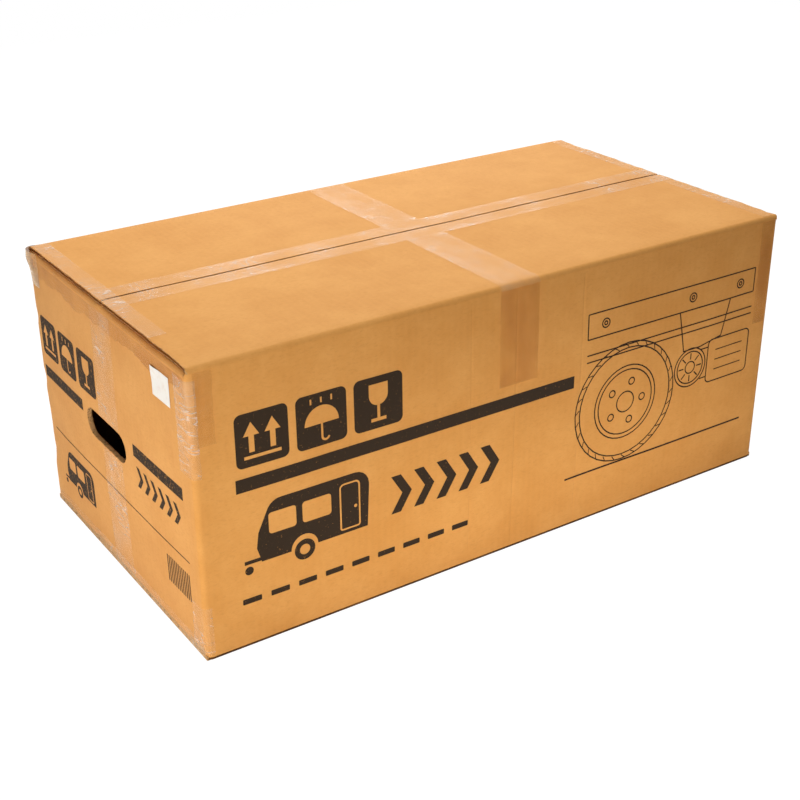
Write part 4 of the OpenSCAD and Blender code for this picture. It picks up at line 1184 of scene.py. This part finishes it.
def corner_strips(skin):
    """Crumpled film over the upright edges of the left end, near at its top and foot and far at its top."""
    film = settings("film")
    radius = settings("board").corner_radius
    bend = radius * math.pi / 2
    for side, low, high, loose, lap, finish in CORNER_RUNS:
        seed = side * low / MM
        centre = Vector((radius - HALF_L, side * (HALF_W - radius), 0))
        width = CORNER_FLAT + bend + lap

        def over_edge(u, v):
            z = low + u
            stand = math.sin(math.pi * v / width) * ease(u / (high - low))
            lift = film.lift + loose * stand * (0.7 + 0.5 * ripple(v, u, seed, 13))
            stray = 2 * wander(u, 60.0 + seed)
            if v < CORNER_FLAT:
                return wall_point("left", side * (HALF_W - radius - CORNER_FLAT + v - stray), z, lift)
            if v < CORNER_FLAT + bend:
                angle = (v - CORNER_FLAT) / radius
                out = Vector((-math.cos(angle), side * math.sin(angle), 0))
                return dented(centre + out * (radius + lift) + Vector((0, 0, z)))
            wall = "front" if side < 0 else "back"
            return wall_point(wall, -HALF_L + radius + v - CORNER_FLAT - bend + stray, z, lift)

        skin.film(over_edge, high - low, width, 61.0 + seed, finish, step=2 * MM, across=2 * MM)


def build_label():
    """The bare label by the near upright edge, with one corner lifting."""
    film = settings("film")
    middle = (LABEL_LO + LABEL_HI) / 2
    wide, tall = LABEL_HI.y - LABEL_LO.y, LABEL_HI.z - LABEL_LO.z
    faces = []
    for over_film in LABEL_FACES:
        rows = []
        for across in spread(-wide / 2, wide / 2, LABEL_GRID):
            row = []
            for up in spread(-tall / 2, tall / 2, LABEL_GRID):
                curl = LABEL_CURL * ease((across + up - 0.22 * (wide + tall)) / LABEL_CURL_REACH)
                row.append(wall_point("left", middle.y + across, middle.z + up, film.lift + over_film + curl))
            rows.append(row)
        faces.append(rows)
    skin = Skin()
    skin.plate(*faces, (0, 0, 0, 0, 0))
    skin.piece("label_sheet", (label_paper(),), "carton", "label_paper", ("bare_label",), close=True)


# Print


def rounded(x0, z0, x1, z1, radii):
    """Outline of a rectangle with a radius for each corner: low left, low right, high right, high left."""
    corners = ((x0, z0, 1, 1, 180), (x1, z0, -1, 1, 270), (x1, z1, -1, -1, 0), (x0, z1, 1, -1, 90))
    points = []
    for (x, z, right, up, turn), r in zip(corners, radii):
        points += arc(x + right * r, z + up * r, r, turn, turn + 90) if r else [(x, z)]
    return points


# Radii of a rectangle without round corners
SQUARE = (0, 0, 0, 0)


def edge_key(a, b):
    """The same key for an edge in either direction."""
    return (a, b) if a < b else (b, a)


def split_triangle(triangle, middles):
    """The parts of a triangle whose long edges are cut at their middles."""
    a, b, c = triangle
    cut = [middles.get(edge_key(*pair)) for pair in ((a, b), (b, c), (c, a))]
    count = 3 - cut.count(None)
    if count == 0:
        return [triangle]
    if count == 3:
        return [(a, cut[0], cut[2]), (cut[0], b, cut[1]), (cut[2], cut[1], c), tuple(cut)]
    while cut[0] is None or cut[2] is not None:
        a, b, c = b, c, a
        cut = cut[1:] + cut[:1]
    if count == 1:
        return [(a, cut[0], c), (cut[0], b, c)]
    return [(cut[0], b, cut[1]), (a, cut[0], cut[1]), (a, cut[1], c)]


class Print:
    """Flat shapes of one print in millimetres, laid on a wall from its left and lower edges."""

    def __init__(self, wall):
        self.wall = wall
        self.points = []
        self.layers = []
        self.triangles = []

    def add(self, points, layer):
        """Adds points of one layer and returns the number of the first."""
        first = len(self.points)
        self.points += [Vector(point) for point in points]
        self.layers += [layer] * len(points)
        return first

    def fill(self, outline, layer=0):
        """A filled outline. Layer 0 is ink and layer 1 the bare paper left open in it."""
        corners = [Vector(p) for p in outline]
        corners = [p for i, p in enumerate(corners) if (p - corners[i - 1]).length > 0.01]
        first = self.add(corners, layer)
        for triangle in tessellate_polygon([[p.to_3d() for p in corners]]):
            a, b, c = (corners[i] for i in triangle)
            upright = (b - a).cross(c - a) > 0
            numbers = tuple(first + i for i in triangle)
            self.triangles.append(numbers if upright else numbers[::-1])

    def stroke(self, path, width=None, closed=False, layer=0):
        """A line of even width along a path, with mitred corners."""
        half = (width or settings("print").line / MM) / 2
        points = [Vector(p) for p in path]
        count = len(points)
        rails = []
        for i, point in enumerate(points):
            before = points[i - 1] if closed or i else point
            after = points[(i + 1) % count] if closed or i < count - 1 else point
            incoming = (point - before).normalized() if before != point else (after - point).normalized()
            outgoing = (after - point).normalized() if after != point else incoming
            way = (incoming + outgoing).normalized()
            side = Vector((-way.y, way.x)) * half / max(way.dot(incoming), 0.4)
            rails.append(self.add((point + side, point - side), layer))
        pairs = zip(rails, rails[1:] + rails[:1]) if closed else zip(rails, rails[1:])
        for first, after in pairs:
            self.triangles += [(first + 1, after + 1, after), (first + 1, after, first)]

    def disc(self, x, z, radius, layer=0):
        """A filled disc."""
        self.fill(arc(x, z, radius, 0, 348), layer)

    def ring(self, x, z, radius, width=None, layer=0):
        """A drawn circle."""
        self.stroke(arc(x, z, radius, 0, 350, 10), width, True, layer)

    def refine(self, limit):
        """Cuts the triangles until no edge is longer than the limit."""
        while True:
            middles = {}
            for a, b, c in self.triangles:
                for first, second in ((a, b), (b, c), (c, a)):
                    key = edge_key(first, second)
                    if key in middles or (self.points[first] - self.points[second]).length <= limit:
                        continue
                    middle = (self.points[first] + self.points[second]) / 2
                    middles[key] = self.add([middle], self.layers[first])
            if not middles:
                return
            parts = [split_triangle(triangle, middles) for triangle in self.triangles]
            self.triangles = [part for split in parts for part in split]

    def piece(self, name, ink):
        """Refines the shapes, lays them on the wall and makes the object."""
        sizes = settings("print")
        self.refine(sizes.mesh / MM)
        skin = Skin()
        for point, layer in zip(self.points, self.layers):
            along = point.x * MM - half_width(self.wall)
            place = along if self.wall in ("front", "right") else -along
            skin.add([wall_point(self.wall, place, point.y * MM, sizes.ink_lift * (1 + 0.6 * layer), False)])
        for triangle in self.triangles:
            skin.face(triangle, self.layers[triangle[0]])
        paper = kraft_liner("X") if self.wall in LONG_WALLS else kraft_liner("Y")
        return skin.piece(name, (ink, paper), "carton", "kraft_board")


def draw_caravan(sheet, x, z, size):
    """A plain touring caravan in silhouette, seen from the side, on a base point and a scale."""

    def at(points):
        return [(x + size * px, z + size * pz) for px, pz in points]

    body = (
        [(16, 12), (44, 12)] + arc(57, 12, 13, 180, 0) + [(120, 12), (122, 52)]
        + arc(108, 54, 14, 0, 90, 18) + arc(36, 54, 14, 90, 150, 15) + [(14, 40), (12, 26)])
    sheet.fill(at(body))
    sheet.stroke(at([(0, 15), (16, 15)]), 3.5 * size)
    sheet.disc(x + 4 * size, z + 7 * size, 4 * size)
    sheet.ring(x + 57 * size, z + 10 * size, 7.5 * size, 5 * size)
    for low, high in ((24, 50), (56, 84)):
        sheet.fill(at(rounded(low, 36, high, 56, (3, 3, 3, 3))), 1)
    sheet.stroke(at(rounded(93, 16, 112, 60, (2, 2, 4, 4))), 1.6 * size, True, 1)
    sheet.disc(x + 108 * size, z + 36 * size, 1.6 * size, 1)


def draw_chevrons(sheet, x, z, tall, count, pitch):
    """A row of arrow chevrons."""
    for i in range(count):
        low = x + i * pitch
        thick, tip = 0.42 * pitch, 0.48 * pitch
        sheet.fill([
            (low, z), (low + thick, z), (low + thick + tip, z + tall / 2), (low + thick, z + tall),
            (low, z + tall), (low + tip, z + tall / 2)])


def draw_arrow(sheet, x, z, wide, tall, layer):
    """An upright arrow."""
    stem = 0.34 * wide
    neck = z + tall - 0.45 * tall
    sheet.fill([
        (x - stem / 2, z), (x + stem / 2, z), (x + stem / 2, neck), (x + wide / 2, neck), (x, z + tall),
        (x - wide / 2, neck), (x - stem / 2, neck)], layer)


def draw_umbrella(sheet, x, z, radius, layer):
    """An open umbrella with three drops over it."""
    sheet.fill(arc(x, z, radius, 0, 180), layer)
    crook = 0.2 * radius
    handle = [(x, z), (x, z - 0.75 * radius)] + arc(x + crook, z - 0.75 * radius, crook, 180, 350, 20)
    sheet.stroke(handle, 0.12 * radius, layer=layer)
    low, high = z + 1.15 * radius, z + 1.15 * radius + 0.3 * radius
    for step in (-0.6, 0, 0.6):
        drop = x + step * radius
        sheet.fill(rounded(drop - 0.05 * radius, low, drop + 0.05 * radius, high, SQUARE), layer)


def draw_glass(sheet, x, z, tall, layer):
    """A stemmed glass."""
    bowl = 0.27 * tall
    rim = z + tall
    sheet.fill([(x - bowl, rim)] + arc(x, z + 0.7 * tall, bowl, 180, 360) + [(x + bowl, rim)], layer)
    sheet.stroke([(x, z + 0.05 * tall), (x, z + 0.5 * tall)], 0.08 * tall, layer=layer)
    sheet.fill(rounded(x - 0.8 * bowl, z, x + 0.8 * bowl, z + 0.09 * tall, SQUARE), layer)


def draw_signs(sheet, x, z, size, pitch):
    """Three handling signs in a row, bare in dark squares: this way up, keep dry and fragile."""
    middles = [x + size / 2 + pitch * step for step in range(3)]
    for middle in middles:
        sheet.fill(rounded(middle - size / 2, z, middle + size / 2, z + size, (0.12 * size,) * 4))
    for shift in (-0.2, 0.2):
        draw_arrow(sheet, middles[0] + shift * size, z + 0.27 * size, 0.3 * size, 0.56 * size, 1)
    low, high = middles[0] - 0.35 * size, middles[0] + 0.35 * size
    sheet.fill(rounded(low, z + 0.15 * size, high, z + 0.21 * size, SQUARE), 1)
    draw_umbrella(sheet, middles[1], z + 0.42 * size, 0.34 * size, 1)
    draw_glass(sheet, middles[2], z + 0.14 * size, 0.72 * size, 1)


def draw_mover(sheet, x, z):
    """A tyre, the roller that drives it, its motor and the rail that carries them, in plain outline."""
    left, right = x + 20, x + 262
    tyre = (x + 78, z + 72)
    roller = (x + 172, z + 88)
    rail_foot, rail_top = z + 158, z + 186

    def spoke(centre, inner, outer, turn, slant=0):
        """The two ends of a line that runs outward from a circle to another."""
        ends = ((inner, turn), (outer, turn + slant))
        return [arc(*centre, radius, angle, angle + 1)[0] for radius, angle in ends]

    for radius in (70, 64, 43, 38, 12):
        sheet.ring(*tyre, radius)
    for turn in range(0, 360, 72):
        sheet.ring(*arc(*tyre, 24, turn, turn + 1)[0], 4)
    for turn in range(6, 366, 12):
        sheet.stroke(spoke(tyre, 65, 69.5, turn, 4), 1.1)
    for radius in (23, 19, 7):
        sheet.ring(*roller, radius)
    for turn in range(0, 360, 45):
        sheet.stroke(spoke(roller, 9.5, 17, turn))
    sheet.stroke(rounded(x + 198, z + 62, right, z + 114, (6, 6, 6, 6)), closed=True)
    for level in (76, 88, 100):
        sheet.stroke([(x + 210, z + level), (x + 252, z + level)], 1.2)
    sheet.stroke([(x + 198, z + 70), (x + 188, z + 70)])
    sheet.stroke([(x + 198, z + 106), (x + 186, z + 106)])
    for level in (rail_foot, rail_top, z + 132, z + 140):
        sheet.stroke([(left, level), (right, level)])
    for end in (left, right):
        sheet.stroke([(end, rail_foot), (end, rail_top)])
    for middle in (44, 168, 240):
        for radius in (5, 2):
            sheet.ring(x + middle, z + 172, radius)
    sheet.stroke([
        (x + 150, rail_foot), (x + 160, z + 110), (x + 184, z + 110), (x + 216, z + 116),
        (x + 226, rail_foot)])
    sheet.stroke([(x - 2, z), (right, z)], 2.2)


def build_front_print():
    """Print of the front: handling signs, a plain stripe, a caravan, chevrons, dashes and a drawing."""
    sheet = Print("front")
    draw_signs(sheet, x=42, z=192, size=54, pitch=62)
    sheet.fill(rounded(40, 168, 434, 182, SQUARE))
    draw_caravan(sheet, x=44, z=76, size=1.12)
    draw_chevrons(sheet, x=206, z=92, tall=42, count=5, pitch=27)
    for dash in range(9):
        start = 40 + 30 * dash
        sheet.fill(rounded(start, 48, start + 20, 54, (1, 1, 1, 1)))
    draw_mover(sheet, x=430, z=60)
    sheet.piece("front_print", flexo_ink("front", 0.64))


def build_end_print():
    """Print of the left end: handling signs, stripes, chevrons, a rule, a small caravan and even bars."""
    sheet = Print("left")
    draw_signs(sheet, x=14, z=186, size=44, pitch=51)
    sheet.fill(rounded(12, 158, 118, 171, SQUARE))
    sheet.fill(rounded(244, 162, 350, 175, SQUARE))
    draw_chevrons(sheet, x=248, z=130, tall=22, count=6, pitch=16)
    sheet.stroke([(18, 97), (353, 97)], 1.2)
    draw_caravan(sheet, x=34, z=34, size=0.72)
    for bar in range(13):
        start = 302 + 3.8 * bar
        sheet.fill(rounded(start, 52, start + 1.9, 82, SQUARE))
    sheet.piece("end_print", flexo_ink("end", 0.56))


# Packed units


def build_springs():
    """The return springs: closely wound wire that stretches from the fixed pin to the carriage pin."""
    sizes = settings("spring")
    for side in ("left", "right"):
        low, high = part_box(f"{side}_return_spring")
        middle = (low + high) / 2
        radius = (high.z - low.z) / 2 - sizes.wire / 2
        fixed, moving = (low.x, high.x) if side == "left" else (high.x, low.x)
        path = spring_path(fixed, moving, middle, radius, sizes)
        spring = tube(f"{side}_spring_wire", path, sizes.wire / 2, 10)
        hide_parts(f"{side}_return_spring")
        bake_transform(spring)


def spring_path(fixed, moving, middle, radius, sizes):
    """Points along the wire: a straight end on the axis, the curls, and the other straight end."""
    per_curl = 24
    count = sizes.curls * per_curl
    straight = sizes.wire
    way = math.copysign(1, moving - fixed)
    coiled = abs(moving - fixed) - 2 * straight
    path = [Vector((fixed, middle.y, middle.z))]
    for i in range(count + 1):
        turn = 2 * math.pi * i / per_curl
        opening = ease(min(i, count - i) / (0.75 * per_curl))
        x = fixed + way * (straight + coiled * i / count)
        path.append(Vector((
            x, middle.y + radius * opening * math.cos(turn), middle.z + radius * opening * math.sin(turn))))
    path.append(Vector((moving, middle.y, middle.z)))
    return path


def tube(name, path, radius, sides):
    """A closed round wire along a path."""
    skin = Skin()
    rings = []
    side = Vector((0, 1, 0))
    for i, point in enumerate(path):
        way = (path[min(i + 1, len(path) - 1)] - path[max(i - 1, 0)]).normalized()
        side = (side - way * side.dot(way)).normalized()
        other = way.cross(side)
        turns = [2 * math.pi * k / sides for k in range(sides)]
        first = skin.add([point + radius * (side * math.cos(t) + other * math.sin(t)) for t in turns])
        rings.append(range(first, first + sides))
    for ring, following in zip(rings, rings[1:]):
        for k in range(sides):
            after = (k + 1) % sides
            skin.face((ring[k], ring[after], following[after], following[k]), 0)
    skin.face(reversed(rings[0]), 0)
    skin.face(rings[-1], 0)
    return skin.piece(name, (zinc_plate(),), None, "zinc_plate", close=True)


def dress_frame_nodes():
    """Gives every CAD node that still shows the finish of its material slot."""
    for part in frame["record"]["subparts"]:
        finish = SLOT_FINISH.get(part["material_slot"])
        if finish is None:
            continue
        mesh = frame["nodes"][part["node"]].data
        mesh.materials.clear()
        mesh.materials.append(finish())


# Stage

# The photograph's camera: place in metres, ways to the right and down, and lens and sensor in millimetres
CAMERA_PLACE = Vector((-0.7962, -1.1747, 0.793))
CAMERA_RIGHT = Vector((0.83176, -0.5551, -0.00633))
CAMERA_DOWN = Vector((-0.24874, -0.36248, -0.89818))
CAMERA_LENS = 62.49
CAMERA_SENSOR = 36
# Strength of the surroundings as a light, and share and strength of the white that the eye sees on the floor
WORLD_LIGHT = 0.05
FLOOR_SHARE = 0.9
FLOOR_WHITE = 1.1
# Half of the floor's width in metres, its mesh step, and how far it lies below the carton
FLOOR_REACH = 2.6
FLOOR_GRID = 2
FLOOR_DROP = 0.4 * MM


def build_camera():
    """The camera at the photograph's place."""
    camera = bpy.data.cameras.new("photo_camera")
    camera.lens = CAMERA_LENS
    camera.sensor_width = CAMERA_SENSOR
    eye = bpy.data.objects.new("photo_camera", camera)
    up = -CAMERA_DOWN
    back = CAMERA_RIGHT.cross(up)
    turn = Matrix((CAMERA_RIGHT, up, back)).transposed()
    eye.matrix_world = Matrix.Translation(CAMERA_PLACE) @ turn.to_4x4()
    bpy.context.scene.collection.objects.link(eye)
    bpy.context.scene.camera = eye


def shown_to_eye(tree):
    """1 where the eye sees a thing straight, in gloss or through glass, and 0 where it only sends light."""
    path = add_node(tree, "ShaderNodeLightPath").outputs
    seen = add_node(tree, "ShaderNodeMath", {
        0: path["Is Camera Ray"], 1: path["Is Glossy Ray"]}, operation="MAXIMUM")
    return add_node(tree, "ShaderNodeMath", {0: seen, 1: path["Is Transmission Ray"]}, operation="MAXIMUM")


def build_floor():
    """A pale floor that shows white to the eye and still takes the shadow."""
    material, tree, shader = start_finish(
        "studio_floor", Roughness=0.9, Base_Color=settings("colours").floor)
    white = add_node(tree, "ShaderNodeEmission", {"Strength": FLOOR_WHITE})
    share = add_node(tree, "ShaderNodeMath", {0: shown_to_eye(tree), 1: FLOOR_SHARE}, operation="MULTIPLY")
    blend = add_node(tree, "ShaderNodeMixShader", {0: share, 1: shader, 2: white})
    wire(tree, tree.nodes["Material Output"], {"Surface": blend})
    skin = Skin()
    places = spread(-FLOOR_REACH, FLOOR_REACH, FLOOR_GRID)
    skin.grid([[Vector((x, y, -FLOOR_DROP)) for x in places] for y in places], 0)
    mesh = bpy.data.meshes.new("studio_floor")
    mesh.from_pydata(skin.points, [], skin.faces)
    mesh.materials.append(material)
    floor = bpy.data.objects.new("studio_floor", mesh)
    bpy.context.scene.collection.objects.link(floor)


def build_world():
    """Even white surroundings, plain white where the eye sees them."""
    world = bpy.data.worlds.new("studio_world")
    bpy.context.scene.world = world
    world.use_nodes = True
    tree = world.node_tree
    shown = shown_to_eye(tree)
    strength = add_node(tree, "ShaderNodeMapRange", {"Value": shown, **span(0, 1, WORLD_LIGHT, 1)})
    tint = add_node(tree, "ShaderNodeMixRGB", {
        "Fac": shown, "Color1": settings("colours").room, "Color2": linear("#FFFFFF")})
    wire(tree, tree.nodes["Background"], {"Color": tint, "Strength": strength})


# Soft lamps: name, place, aim, width and height in metres, and power in watts
LAMPS = (
    ("over_soft_box", (-0.15, 0.2, 2.1), (-0.1, 0, 0.3), (1.3, 1.3), 36),
    ("back_soft_box", (0.9, 1.55, 1.0), (-0.1, 0, 0.3), (1.0, 1.0), 20),
    ("front_soft_box", (-0.6, -0.8, 0.12), (-0.2, -0.19, 0.06), (0.2, 0.2), 2.4),
    ("foot_card", (0.06, -0.42, 0.035), (0.06, -0.19, 0.03), (0.6, 0.05), 0.42),
    ("end_soft_box", (-0.98, -0.1, 0.1), (-0.36, -0.03, 0.06), (0.18, 0.18), 2.05),
)


def build_lamps():
    """Soft boxes over and behind the carton, low ones before its two near faces and a card at its foot."""
    for name, place, aim, size, power in LAMPS:
        lamp = bpy.data.lights.new(name, "AREA")
        lamp.shape = "RECTANGLE"
        lamp.size, lamp.size_y = size
        lamp.energy = power
        holder = bpy.data.objects.new(name, lamp)
        holder.location = place
        holder.rotation_euler = (Vector(aim) - Vector(place)).to_track_quat("-Z", "Y").to_euler()
        bpy.context.scene.collection.objects.link(holder)


# Operators


class MOVER_OT_stage(bpy.types.Operator):
    """Set up the camera, the floor, the surroundings and the lamps"""
    bl_idname = "mover.stage"
    bl_label = "Stage"

    def execute(self, context):
        context.scene.view_settings.view_transform = "Standard"
        build_camera()
        build_floor()
        build_world()
        build_lamps()
        return {"FINISHED"}


class MOVER_OT_walls(bpy.types.Operator):
    """Fold the walls of the carton with their hand holes"""
    bl_idname = "mover.walls"
    bl_label = "Walls"

    def execute(self, context):
        build_walls()
        return {"FINISHED"}


class MOVER_OT_flaps(bpy.types.Operator):
    """Lay the bottom, inner and outer flaps and hang the flaps of the hand holes"""
    bl_idname = "mover.flaps"
    bl_label = "Flaps"

    def execute(self, context):
        build_bottom_flaps()
        build_inner_flaps()
        build_top_flaps()
        build_hand_flaps()
        return {"FINISHED"}


class MOVER_OT_film(bpy.types.Operator):
    """Stick the packing film over the seams and edges"""
    bl_idname = "mover.film"
    bl_label = "Packing film"

    def execute(self, context):
        build_flap_film()
        build_wall_film()
        return {"FINISHED"}


class MOVER_OT_label(bpy.types.Operator):
    """Stick the bare label on the near end"""
    bl_idname = "mover.label"
    bl_label = "Bare label"

    def execute(self, context):
        build_label()
        return {"FINISHED"}


class MOVER_OT_print(bpy.types.Operator):
    """Print the front and the near end"""
    bl_idname = "mover.print"
    bl_label = "Print"

    def execute(self, context):
        build_front_print()
        build_end_print()
        return {"FINISHED"}


class MOVER_OT_units(bpy.types.Operator):
    """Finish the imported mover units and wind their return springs"""
    bl_idname = "mover.units"
    bl_label = "Packed units"

    def execute(self, context):
        dress_frame_nodes()
        build_springs()
        return {"FINISHED"}


OPERATORS = (
    MOVER_OT_stage, MOVER_OT_walls, MOVER_OT_flaps, MOVER_OT_film, MOVER_OT_label, MOVER_OT_print,
    MOVER_OT_units)
GROUPS = {
    "board": BoardSizes, "film": FilmSizes, "print": PrintSizes, "spring": SpringSizes, "colours": Colours}


class MOVER_PT_carton(bpy.types.Panel):
    """Lists the pieces of the carton and their sizes"""
    bl_idname = "MOVER_PT_carton"
    bl_label = "Mover Carton"
    bl_space_type = "VIEW_3D"
    bl_region_type = "UI"
    bl_category = "Mover Carton"

    def draw(self, context):
        for operator in OPERATORS:
            self.layout.operator(operator.bl_idname)
        for group in GROUPS:
            box = self.layout.box()
            for name in GROUPS[group].__annotations__:
                box.prop(settings(group), name)


def register():
    """Registers the property groups, the operators and the panel."""
    for group, kind in GROUPS.items():
        bpy.utils.register_class(kind)
        setattr(bpy.types.Scene, "mover_" + group, PointerProperty(type=kind))
    for kind in OPERATORS + (MOVER_PT_carton,):
        bpy.utils.register_class(kind)


def unregister():
    """Takes them out again."""
    for kind in reversed(OPERATORS + (MOVER_PT_carton,)):
        bpy.utils.unregister_class(kind)
    for group, kind in GROUPS.items():
        delattr(bpy.types.Scene, "mover_" + group)
        bpy.utils.unregister_class(kind)


def main():
    """Builds the stage and every piece."""
    register()
    bpy.ops.mover.stage()
    bpy.ops.mover.walls()
    bpy.ops.mover.flaps()
    bpy.ops.mover.film()
    bpy.ops.mover.label()
    bpy.ops.mover.print()
    bpy.ops.mover.units()


if __name__ == "__main__":
    main()
